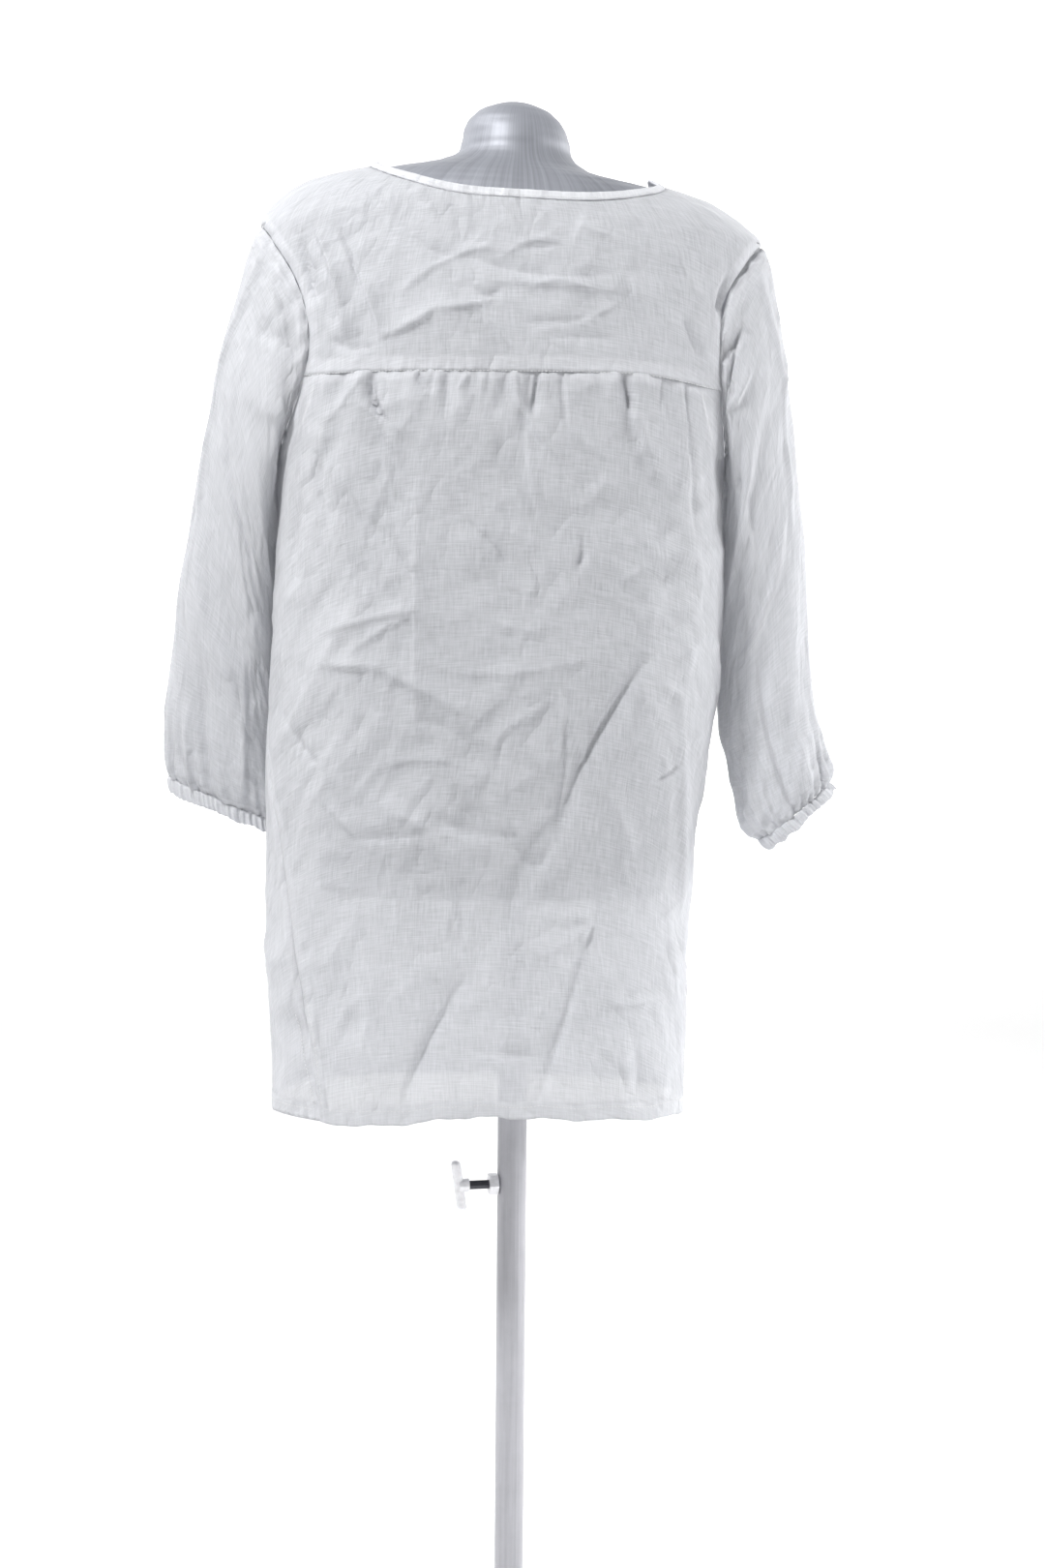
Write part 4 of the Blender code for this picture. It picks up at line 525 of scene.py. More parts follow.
class RingBody:
    """A closed round surface, read from a table of rings."""

    def __init__(self, rows):
        self.knots = column(RING_COLUMNS, rows, "height")
        self.columns = {name: column(RING_COLUMNS, rows, name) for name in RING_COLUMNS}

    def read(self, name, height):
        """One column of the rings, read smoothly at these heights."""
        return smooth_value(self.knots, self.columns[name], height)

    def point(self, angle, height):
        """Points at angles in degrees and ring heights, which have the same shape."""
        sine, cosine = np.sin(np.radians(angle)), np.cos(np.radians(angle))
        depth = np.where(cosine > 0, self.read("back_depth", height), self.read("front_depth", height))
        power = self.read("squareness", height)
        half_width = self.read("half_width", height)
        reach = (np.abs(cosine) / depth) ** power + (np.abs(sine) / half_width) ** power
        radius = reach ** (-1 / power)
        across = radius * sine
        tilt = np.radians(self.read("tilt", height))
        x = self.read("centre_x", height) + across * np.cos(tilt)
        return np.stack([x, -radius * cosine, height - across * np.sin(tilt)], axis=-1)

    def normal(self, angle, height):
        """Outward directions at the same places."""
        turn, rise = 0.2, 0.0005
        along = self.point(angle + turn, height) - self.point(angle - turn, height)
        up = self.point(angle, height + rise) - self.point(angle, height - rise)
        return unit(np.cross(along, up))

    def angle_at_depth(self, half, depth, height):
        """Degrees from the centre line of that half where the ring is this far from its middle."""
        full = self.read(half + "_depth", height)
        power = self.read("squareness", height)
        inside = np.maximum(1 - (depth / full) ** power, 0.0)
        across = self.read("half_width", height) * inside ** (1 / power)
        return np.degrees(np.arctan2(across, depth))


BLOUSE = RingBody(BLOUSE_RINGS)
FORM = RingBody(FORM_RINGS)


def settings():
    """The values that a user may change."""
    return bpy.context.scene.tunic


# Shapes of cloth

def fold_path(row):
    """Points along a fold's curve, closer together on a narrow fold."""
    start, middle, end = (np.array(row[place:place + 2], float) for place in (0, 2, 4))
    length = np.linalg.norm(middle - start) + np.linalg.norm(end - middle)
    half_width = row[-3]
    t = np.linspace(0, 1, max(FOLD_POINTS, int(FOLD_STEPS * length / half_width)))[:, None]
    control = 2 * middle - (start + end) / 2
    return (1 - t) ** 2 * start + 2 * t * (1 - t) * control + t * t * end


def fold_offset(flat, folds, power=2.0):
    """How far the folds move the cloth outward at flat places, with their lean."""
    offset = np.zeros(flat.shape[:-1])
    for row in folds:
        path = fold_path(row)
        half_width, depth, lean = row[-3:]
        reach = FOLD_REACH * half_width
        low, high = path.min(axis=0) - reach, path.max(axis=0) + reach
        near = np.all((flat > low) & (flat < high), axis=-1)
        spots = flat[near]
        if not len(spots):
            continue
        gap = spots[:, None, :] - path
        away = np.linalg.norm(gap, axis=-1)
        nearest = away.argmin(axis=-1)
        tangent = np.gradient(path, axis=0)[nearest]
        beside = gap[np.arange(len(spots)), nearest]
        side = np.sign(tangent[:, 0] * beside[:, 1] - tangent[:, 1] * beside[:, 0])
        share = nearest / (len(path) - 1)
        taper = np.sqrt(np.clip(4 * share * (1 - share), FOLD_END, 1))
        width = half_width * (1 + lean * side)
        offset[near] += depth * taper * np.exp(-(away.min(axis=-1) / width) ** power)
    return offset


def gather_offset(across, below_seam):
    """Tucks and puffs under the yoke seam, which fade down the panel."""
    puff = GATHER_PUFF * (1 - smooth_step(below_seam / GATHER_PUFF_LENGTH))
    inside = smooth_step((GATHERED_HALF_WIDTH - np.abs(across - GATHERED_CENTRE)) / GATHERED_FADE)
    offset = puff * inside
    chance = np.random.RandomState(SEEDS["gathers"])
    rows = list(GATHERS)
    for place in np.linspace(*SMALL_GATHER_ENDS, SMALL_GATHERS):
        shift, *others = (chance.uniform(low, high) for low, high in SMALL_GATHER_RANGES)
        rows.append((place + shift, *others))
    for row in rows:
        gather = dict(zip(GATHER_COLUMNS, row))
        share = below_seam / gather["length"]
        centre = gather["across"] + gather["drift"] * share
        widen = gather["half_width"] * (1 + GATHER_WIDEN * np.clip(share, 0, 1))
        offset = offset - gather["depth"] * (1 - smooth_step(share)) * groove(across - centre, widen)
    return offset * at_least(GATHER_LEAST, smooth_step(below_seam / GATHER_START))


def soft_noise(flat, size, chance):
    """Smooth noise from -1 to 1 over flat places, with lumps of about this size."""
    spot = (flat - flat.reshape(-1, 2).min(axis=0)) / size
    cell = np.floor(spot).astype(int)
    part = smooth_step(spot - cell)
    values = chance.uniform(-1, 1, cell.reshape(-1, 2).max(axis=0) + 2)
    x, y = cell[..., 0], cell[..., 1]
    low = values[x, y] * (1 - part[..., 0]) + values[x + 1, y] * part[..., 0]
    high = values[x, y + 1] * (1 - part[..., 0]) + values[x + 1, y + 1] * part[..., 0]
    return low * (1 - part[..., 1]) + high * part[..., 1]


def crumple(flat, seed, depth):
    """Uneven soft creases of worn linen: sharp lines between flatter fields, at three sizes."""
    chance = np.random.RandomState(seed)
    warp = np.stack([soft_noise(flat, CRUMPLE_WARP_SIZE, chance) for _ in range(2)], axis=-1)
    spots = (flat + CRUMPLE_WARP * warp) @ np.array(CRUMPLE_TURN)
    total = np.zeros(flat.shape[:-1])
    for size, share in CRUMPLE_LAYERS:
        lumps = soft_noise(spots * (1.0, CRUMPLE_STRETCH), size, chance)
        total += share * (0.5 - np.abs(lumps)) * (1 + soft_noise(flat, CRUMPLE_FIELD, chance)) / 2
    return depth * total


def grid_mesh(name, points, face_sets, flat, doubled, wrap=0.0):
    """Mesh from sets of faces, with a flat map in metres that closes at its wrap.

    The attribute doubled marks where the cloth lies double.
    """
    corners = np.concatenate([faces.ravel() for faces in face_sets]).astype(np.int32)
    totals = np.concatenate([np.full(len(faces), faces.shape[1]) for faces in face_sets]).astype(np.int32)
    starts = (np.cumsum(totals) - totals).astype(np.int32)
    mesh = bpy.data.meshes.new(name)
    mesh.vertices.add(len(points))
    mesh.vertices.foreach_set("co", points.astype(np.float32).ravel())
    mesh.loops.add(len(corners))
    mesh.loops.foreach_set("vertex_index", corners)
    mesh.polygons.add(len(totals))
    mesh.polygons.foreach_set("loop_start", starts)
    mesh.polygons.foreach_set("loop_total", totals)
    mesh.update(calc_edges=True)
    places = flat[corners]
    if wrap:
        furthest = np.repeat(np.maximum.reduceat(places[:, 0], starts), totals)
        places[furthest - places[:, 0] > wrap / 2, 0] += wrap
    layer = mesh.uv_layers.new(name="weave")
    layer.data.foreach_set("uv", places.astype(np.float32).ravel())
    mark = mesh.attributes.new("doubled", "FLOAT", "POINT")
    mark.data.foreach_set("value", doubled.astype(np.float32).ravel())
    mesh.validate()
    mesh.shade_smooth()
    item = bpy.data.objects.new(name, mesh)
    bpy.context.collection.objects.link(item)
    return item


def grid_quads(rows, columns, closed, start=0, flip=False):
    """Quads of a grid of vertices, row by row."""
    index = np.arange(rows * columns).reshape(rows, columns) + start
    right = np.roll(index, -1, axis=1) if closed else index[:, 1:]
    left = index if closed else index[:, :-1]
    quads = np.stack([left[:-1], right[:-1], right[1:], left[1:]], axis=-1).reshape(-1, 4)
    return quads[:, ::-1] if flip else quads


def shell(name, middle, normal, thickness, flat, doubled, closed=False, wrap=0.0):
    """Closed double shell round a grid of the cloth's middle; its inner side is half as fine."""
    rows, columns = middle.shape[:2]
    half = normal * thickness[..., None] / 2
    inside = (middle - half)[::2, ::2]
    inner_rows, inner_columns = inside.shape[:2]
    points = np.concatenate([(middle + half).reshape(-1, 3), inside.reshape(-1, 3)])
    outer = np.arange(rows * columns).reshape(rows, columns)
    inner = np.arange(inner_rows * inner_columns).reshape(inner_rows, inner_columns) + rows * columns
    quads = np.concatenate([grid_quads(rows, columns, closed, 0, True),
                            grid_quads(inner_rows, inner_columns, closed, rows * columns)])
    edges = [(outer[0], inner[0], False), (outer[-1], inner[-1], True)]
    if not closed:
        edges += [(outer[:, 0], inner[:, 0], True), (outer[:, -1], inner[:, -1], False)]
    rims = []
    for out_edge, in_edge, flip in edges:
        if closed:
            out_edge, in_edge = np.append(out_edge, out_edge[0]), np.append(in_edge, in_edge[0])
        rim = np.stack([out_edge[:-2:2], out_edge[1:-1:2], out_edge[2::2], in_edge[1:], in_edge[:-1]],
                       axis=-1)
        rims.append(rim[:, ::-1] if flip else rim)
    both = np.concatenate([flat.reshape(-1, 2), flat[::2, ::2].reshape(-1, 2)])
    marks = np.concatenate([doubled.ravel(), doubled[::2, ::2].ravel()])
    item = grid_mesh(name, points, [quads, np.concatenate(rims)], both, marks, wrap)
    SURFACES[name] = (middle, normal, thickness)
    return item


def flat_map(middle):
    """Flat places in metres: along the rows and down the columns of a grid."""
    across = np.linalg.norm(np.diff(middle, axis=1), axis=-1)
    u = np.concatenate([np.zeros((len(middle), 1)), np.cumsum(across, axis=1)], axis=1)
    u -= u[:, [u.shape[1] // 2]]
    down = np.linalg.norm(np.diff(middle, axis=0), axis=-1)
    v = np.concatenate([np.zeros((1, middle.shape[1])), np.cumsum(down, axis=0)], axis=0)
    return np.stack([u, v], axis=-1)


def weave_map(base, angle):
    """Straight threads on a torso piece: distance round the body, and height with the slope's run."""
    turns = np.arange(0.0, 361.0)
    level = BLOUSE.point(turns, np.full(turns.shape, UNDERARM))
    round_it = np.concatenate([[0.0], np.cumsum(np.linalg.norm(np.diff(level, axis=0), axis=-1))])
    around = np.sign(angle) * np.interp(np.abs(angle), turns, round_it)
    return np.stack([around, base[..., 2] - SLOPE_RUN * np.abs(base[..., 1])], axis=-1)


def path_share(rows):
    """Share of the way down a piece's side, by its own length, from 0 to 1."""
    place = np.stack([METRES_PER_DEGREE * rows[:, 0], rows[:, 1]], axis=-1)
    steps = np.linalg.norm(np.diff(place, axis=0), axis=-1)
    total = np.concatenate([[0.0], np.cumsum(steps)])
    return total / total[-1]


def flat_size(middle):
    """Width, length and area of a grid of cloth, laid flat."""
    across = np.linalg.norm(np.diff(middle, axis=1), axis=-1).sum(axis=1)
    down = np.linalg.norm(np.diff(middle, axis=0), axis=-1).sum(axis=0)
    diagonal = np.cross(middle[1:, 1:] - middle[:-1, :-1], middle[1:, :-1] - middle[:-1, 1:])
    return float(across.max()), float(down.max()), float(np.linalg.norm(diagonal, axis=-1).sum() / 2)


def put_on_form(item, material, node=None):
    """Give a made piece its material and slot, on the form, in its solid's place where it has one."""
    item.data.materials.append(material)
    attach(item, "form")
    if node:
        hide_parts(node)


def dress(item, node, material, middle):
    """Put a cloth piece in its solid's place and work out its flat width, length and area, which are not
    kept.
    """
    put_on_form(item, material, node)
    width, length, area = flat_size(middle)
    area = min(area, width * length)


def dress_band(item, node, material):
    """Put a closed casing, a strip folded round, in its solid's place."""
    put_on_form(item, material, node)


def plain_mesh(name, points, faces, smooth=True):
    """Object made of lists of points and faces."""
    mesh = bpy.data.meshes.new(name)
    mesh.from_pydata([tuple(point) for point in points], [], faces)
    mesh.update()
    if smooth:
        mesh.shade_smooth()
    item = bpy.data.objects.new(name, mesh)
    bpy.context.collection.objects.link(item)
    return item


# Torso pieces

ARMHOLE_MIDDLE, ARMHOLE_HALF = (SHOULDER_TIP + UNDERARM) / 2, (SHOULDER_TIP - UNDERARM) / 2


def armhole_side(side, swing):
    """Angle and height of the armhole seam; swing 0 is the shoulder tip and pi the underarm."""
    height = ARMHOLE_MIDDLE + ARMHOLE_HALF * np.cos(swing)
    depth_share = np.abs(np.sin(swing)) ** ARMHOLE_ROUNDNESS
    back_angle = BLOUSE.angle_at_depth("back", ARMHOLE_BACK[side] * depth_share, height)
    front_angle = 180 - BLOUSE.angle_at_depth("front", ARMHOLE_FRONT * depth_share, height)
    return side * np.where(swing <= math.pi, back_angle, front_angle), height


def seam_swing(side):
    """The swing where the yoke seam meets the armhole."""
    return math.acos((YOKE_SEAM - YOKE_DROP[side] - ARMHOLE_MIDDLE) / ARMHOLE_HALF)


def armhole_column(side, half, start, end, count):
    """Span and height down a piece's armhole edge."""
    swing = np.linspace(start, end, count)
    angle, height = armhole_side(side, swing if half == "back" else 2 * math.pi - swing)
    span = np.abs(angle)
    return np.stack([span if half == "back" else 180 - span, height], axis=-1)


def seam_span(side, half, heights):
    """Degrees from a piece's centre line to its side seam or vent edge."""
    name = "left" if side < 0 else "right"
    seam = read_table(SEAM_COLUMNS, SIDE_SEAMS, "height", name, heights)
    vent = read_table(VENT_COLUMNS, VENTS, "height", name + "_" + half, heights)
    return (seam if half == "back" else 180 - seam) - vent


def shoulder_column(count):
    """Span and height along the shoulder seam, from the neck point to the shoulder tip."""
    levels = np.linspace(NECK_POINT, SHOULDER_TIP, count, endpoint=False)
    return np.stack([np.full(count, 90.0), levels], axis=-1)


def torso_grid(half, columns, side_rows, centre, rows_down):
    """Angles and ring heights of a torso piece."""
    negative = columns < 0
    span = np.where(negative, side_rows[-1][:, 0:1], side_rows[1][:, 0:1])
    side_height = np.where(negative, side_rows[-1][:, 1:2], side_rows[1][:, 1:2])
    shifted = columns - NECK_SHIFT * (1 - columns ** 2) * (1 - rows_down)
    curve = NECK_CURVE + (SEAM_CURVE - NECK_CURVE) * rows_down
    weight = np.abs(np.sin(np.radians(90 * shifted))) ** curve
    height = centre[:, None] + (side_height - centre[:, None]) * weight
    angle = columns * span if half == "back" else 180 - columns * span
    return angle, height


def side_distance(base):
    """Distance from each point of a grid to the nearer of its two side edges."""
    edges = np.concatenate([base[:, 0], base[:, -1]])
    return np.array([np.linalg.norm(row[:, None] - edges, axis=-1).min(axis=-1) for row in base])


def drop_below(height):
    """How far each point lies below the first one of its column, by ring height."""
    steps = np.abs(np.diff(height, axis=0))
    return np.concatenate([np.zeros((1, height.shape[1])), np.cumsum(steps, axis=0)])


def seam_dip(distance, depth=SEAM_DIP, width=SEAM_DIP_WIDTH):
    """The cloth dips towards a seam, with a small ridge beside it."""
    ridge = 0.35 * depth * groove(distance - 2.4 * width, width)
    return ridge - depth * groove(distance, width)


def turned_edges(height, from_side, above_hem):
    """Where the side seam is closed, and where the hem and the vent edges are turned."""
    closed = smooth_step((height - VENT_TOP) / CLOSED_FADE)
    vent_edge = (1 - closed) * near_edge(from_side, VENT_TURN, TURN_STEP)
    return closed, np.maximum(near_edge(above_hem, HEM_DEPTH, TURN_STEP), vent_edge)


def build_back_yoke(material):
    """Upper back: its lower edge is turned under and lies on the gathered panel."""
    cloth = settings().cloth
    columns = np.linspace(-1, 1, YOKE_COLUMNS + 1)
    side_rows = {side: np.vstack([shoulder_column(YOKE_SHOULDER_ROWS),
                                  armhole_column(side, "back", 0, seam_swing(side), YOKE_ARMHOLE_ROWS)])
                 for side in (-1, 1)}
    share = 1 - (path_share(side_rows[-1]) + path_share(side_rows[1])) / 2
    centre = YOKE_SEAM + share * (NECK_POINT - BACK_NECK_DROP - YOKE_SEAM)
    angle, height = torso_grid("back", columns, side_rows, centre, smooth_step(1 - share)[:, None])
    base, normal = BLOUSE.point(angle, height), BLOUSE.normal(angle, height)
    below_neck, from_side = drop_below(height), side_distance(base)
    above_seam = below_neck[-1] - below_neck
    calm = smooth_step((base[..., 2] - YOKE_SEAM) / YOKE_FADE)
    flat, weave = base[..., [0, 2]], weave_map(base, angle)
    offset = fold_offset(flat, YOKE_FOLDS) * calm
    creases = YOKE_CREASE_SHARE * cloth.crease * fold_offset(flat, YOKE_CREASES, BACK_CREASE_POWER)
    offset += creases * smooth_step(above_seam / CREASE_CALM)
    rim = smooth_step(above_seam / EDGE_CALM) * smooth_step(below_neck / EDGE_CALM)
    offset += crumple(weave, SEEDS["yoke"], YOKE_CRUMPLE * cloth.crumple) * at_least(YOKE_CALM_LEAST, rim)
    offset += seam_dip(from_side)
    offset += YOKE_EDGE_RAISE * near_edge(above_seam, YOKE_EDGE_WIDTH, YOKE_EDGE_FADE)
    offset -= YOKE_STITCH_DEPTH * groove(above_seam - YOKE_STITCH_AT, TURN_LINE_WIDTH)
    offset -= NECK_DIP * near_edge(below_neck, 0, NECK_DIP_WIDTH)
    seam_wave = YOKE_WAVE * np.sin(base[..., 0] * YOKE_WAVES) * groove(above_seam, YOKE_WAVE_REACH)
    middle = base + normal * (offset + seam_wave)[..., None]
    middle[-1] -= unit(base[-2] - base[-1]) * YOKE_OVERHANG
    turned = near_edge(above_seam, SEAM_ALLOWANCE, YOKE_EDGE_FADE)
    thickness = cloth.thickness * (1 + YOKE_EDGE_THICKER * turned)
    doubled = SEAM_DOUBLED * np.maximum(near_edge(above_seam, SEAM_ALLOWANCE, ALLOWANCE_FADE),
                                        near_edge(from_side, SEAM_ALLOWANCE, ALLOWANCE_FADE))
    dress(shell("tunic_yoke", middle, normal, thickness, weave, doubled), "back_yoke", material, middle)


def build_back_panel(material):
    """Gathered back, from under the yoke's edge down to the turned hem."""
    cloth = settings().cloth
    columns = np.linspace(-1, 1, BACK_COLUMNS + 1)
    top = {side: armhole_column(side, "back", seam_swing(side), math.pi, BACK_ARMHOLE_ROWS)
           for side in (-1, 1)}
    centre = YOKE_SEAM - (path_share(top[-1]) + path_share(top[1])) / 2 * (YOKE_SEAM - UNDERARM)
    angle, height = torso_grid("back", columns, top, centre, 1.0)
    down = np.linspace(UNDERARM, HEM_LEVEL, BACK_ROWS + 1)[1:, None]
    span = np.where(columns < 0, seam_span(-1, "back", down), seam_span(1, "back", down))
    below = columns * span
    hem = read_table(HEM_COLUMNS, BACK_HEM, "angle", "height", below)
    turn = smooth_step((HEM_TURN - down) / (HEM_TURN - HEM_LEVEL))
    ripple = sum(depth * np.sin(below * waves + phase) for depth, waves, phase in HEM_RIPPLES)
    level = down + (hem + ripple - HEM_LEVEL) * turn
    angle, height = np.vstack([angle, below]), np.vstack([height, level])
    base, normal = BLOUSE.point(angle, height), BLOUSE.normal(angle, height)
    below_seam = np.maximum(height[0] - height, 0.0)
    flat, weave = base[..., [0, 2]], weave_map(base, angle)
    folds = fold_offset(flat, BACK_FOLDS) * smooth_step(below_seam / PANEL_FADE)
    offset = gather_offset(base[..., 0], below_seam) + folds
    side_calm = smooth_step((1 - np.abs(columns)) / BACK_SIDE_FADE)
    offset *= np.where(height > VENT_TOP, side_calm, 1.0)
    offset += cloth.crease * fold_offset(flat, BACK_CREASES, BACK_CREASE_POWER)
    from_side = side_distance(base)
    rim = at_least(SIDE_CALM_LEAST, smooth_step(from_side / EDGE_CALM))
    above_hem = flat_map(base)[-1:, :, 1] - flat_map(base)[..., 1]
    rim *= at_least(HEM_CALM_LEAST, smooth_step(above_hem / HEM_CALM))
    offset += crumple(weave, SEEDS["back"], BACK_CRUMPLE * cloth.crumple) * rim
    closed, folded = turned_edges(height, from_side, above_hem)
    offset += seam_dip(from_side) * closed
    offset -= SEAM_DIP * near_edge(below_seam, 0, UNDER_YOKE_DIP_WIDTH)
    offset -= TURN_LINE * groove(above_hem - HEM_DEPTH, TURN_LINE_WIDTH)
    middle = base + normal * offset[..., None]
    doubled = np.maximum(folded, SEAM_DOUBLED * near_edge(from_side, SEAM_ALLOWANCE, ALLOWANCE_FADE))
    doubled = np.maximum(doubled, SEAM_DOUBLED * near_edge(below_seam, UNDER_YOKE_DOUBLED, UNDER_YOKE_FADE))
    thickness = cloth.thickness * (1 + HEM_THICKER * folded)
    item = shell("tunic_back", middle, normal, thickness, weave, doubled)
    dress(item, "back_panel", material, middle)


def build_front_panel(material):
    """Plain front in one piece, from the neckline and shoulders down to the turned hem."""
    cloth = settings().cloth
    columns = np.linspace(-1, 1, FRONT_COLUMNS + 1)
    side_rows = {side: np.vstack([shoulder_column(FRONT_SHOULDER_ROWS),
                                  armhole_column(side, "front", 0, math.pi, FRONT_ARMHOLE_ROWS)])
                 for side in (-1, 1)}
    share = 1 - (path_share(side_rows[-1]) + path_share(side_rows[1])) / 2
    centre = UNDERARM + share * (NECK_POINT - FRONT_NECK_DROP - UNDERARM)
    down = np.linspace(UNDERARM, FRONT_HEM, FRONT_ROWS + 1)[1:]
    for side in (-1, 1):
        below = np.stack([seam_span(side, "front", down), down], axis=-1)
        side_rows[side] = np.vstack([side_rows[side], below])
    centre = np.concatenate([centre, down])
    rows_down = smooth_step((centre[0] - centre) / (centre[0] - UNDERARM))[:, None]
    angle, height = torso_grid("front", columns, side_rows, centre, rows_down)
    base, normal = BLOUSE.point(angle, height), BLOUSE.normal(angle, height)
    flat, weave = base[..., [0, 2]], weave_map(base, 180 - angle)
    from_side = side_distance(base)
    side_calm = smooth_step(from_side / FRONT_SIDE_FADE)
    calm = side_calm * smooth_step((FRONT_FOLD_TOP - height) / FRONT_FOLD_FADE)
    offset = fold_offset(flat, FRONT_FOLDS) * calm
    vent_angle = float(seam_span(-1, "back", VENT_TOP))
    near_vent = smooth_step((vent_angle + VENT_TUCK_ANGLE - (360 - angle)) / VENT_TUCK_ANGLE)
    offset -= VENT_TUCK * near_vent * smooth_step((VENT_TOP - height) / VENT_TUCK_RISE)
    offset += cloth.crease * fold_offset(flat, FRONT_CREASES, FRONT_CREASE_POWER)
    below_neck = drop_below(height)
    rim = at_least(SIDE_CALM_LEAST, smooth_step(from_side / EDGE_CALM)) * smooth_step(below_neck / EDGE_CALM)
    lower = smooth_step((FRONT_CRUMPLE_FROM - height) / FRONT_CRUMPLE_FADE)
    depth = FRONT_CRUMPLE_TOP + FRONT_CRUMPLE_MORE * lower
    offset += crumple(weave, SEEDS["front"], cloth.crumple) * rim * depth
    above_hem = below_neck[-1] - below_neck
    closed, folded = turned_edges(height, from_side, above_hem)
    offset += seam_dip(from_side) * closed
    offset -= NECK_DIP * near_edge(below_neck, 0, NECK_DIP_WIDTH)
    offset -= TURN_LINE * groove(above_hem - HEM_DEPTH, TURN_LINE_WIDTH)
    middle = base + normal * offset[..., None]
    doubled = np.maximum(folded, SEAM_DOUBLED * near_edge(from_side, SEAM_ALLOWANCE, ALLOWANCE_FADE))
    thickness = cloth.thickness * (1 + HEM_THICKER * folded)
    parts = [values[:, ::-1] for values in (middle, normal, thickness, weave, doubled)]
    dress(shell("tunic_front", *parts), "front_panel", material, middle)


# Sleeves, cuffs and binding

def sleeve_section(row_values, swing):
    """One sleeve section at every swing: the outer point is at swing 0."""
    size = dict(zip(SLEEVE_COLUMNS, row_values))
    outer = np.array([size["outer_x"], 0, size["outer_z"]])
    inner = np.array([size["inner_x"], 0, size["inner_z"]])
    cosine, sine = np.cos(swing), np.sin(swing)
    power = 2 / size["squareness"]
    along = np.sign(cosine) * np.abs(cosine) ** power
    depth = np.where(sine > 0, size["back_depth"], size["front_depth"])
    points = (outer + inner) / 2 + along[:, None] * (outer - inner) / 2
    points[:, 1] = size["middle_y"] - depth * np.sign(sine) * np.abs(sine) ** power
    return points


def sleeve_rings(side, numbers, swing):
    """Sleeve rings at table places that may lie between two rows."""
    table = np.array(SLEEVES[side], float)
    knots = np.arange(len(table), dtype=float)
    read = np.stack([smooth_value(knots, values, numbers) for values in table.T], axis=-1)
    loop = BLOUSE.point(*armhole_side(side, swing))
    start = sleeve_section(table[0], swing)
    rings = []
    for number, values in zip(numbers, read):
        seam_share = 1 - smooth_step(number / SLEEVE_BLEND)
        rings.append(sleeve_section(values, swing) + seam_share * (loop - start))
    return np.array(rings)


def ring_normals(rings):
    """Outward directions of rings that make a tube."""
    tangent = np.roll(rings, -1, axis=1) - np.roll(rings, 1, axis=1)
    normals = unit(np.cross(tangent, np.gradient(rings, axis=0)))
    outward = rings - rings.mean(axis=1, keepdims=True)
    return normals * np.sign(np.sum(normals * outward, axis=-1).mean())


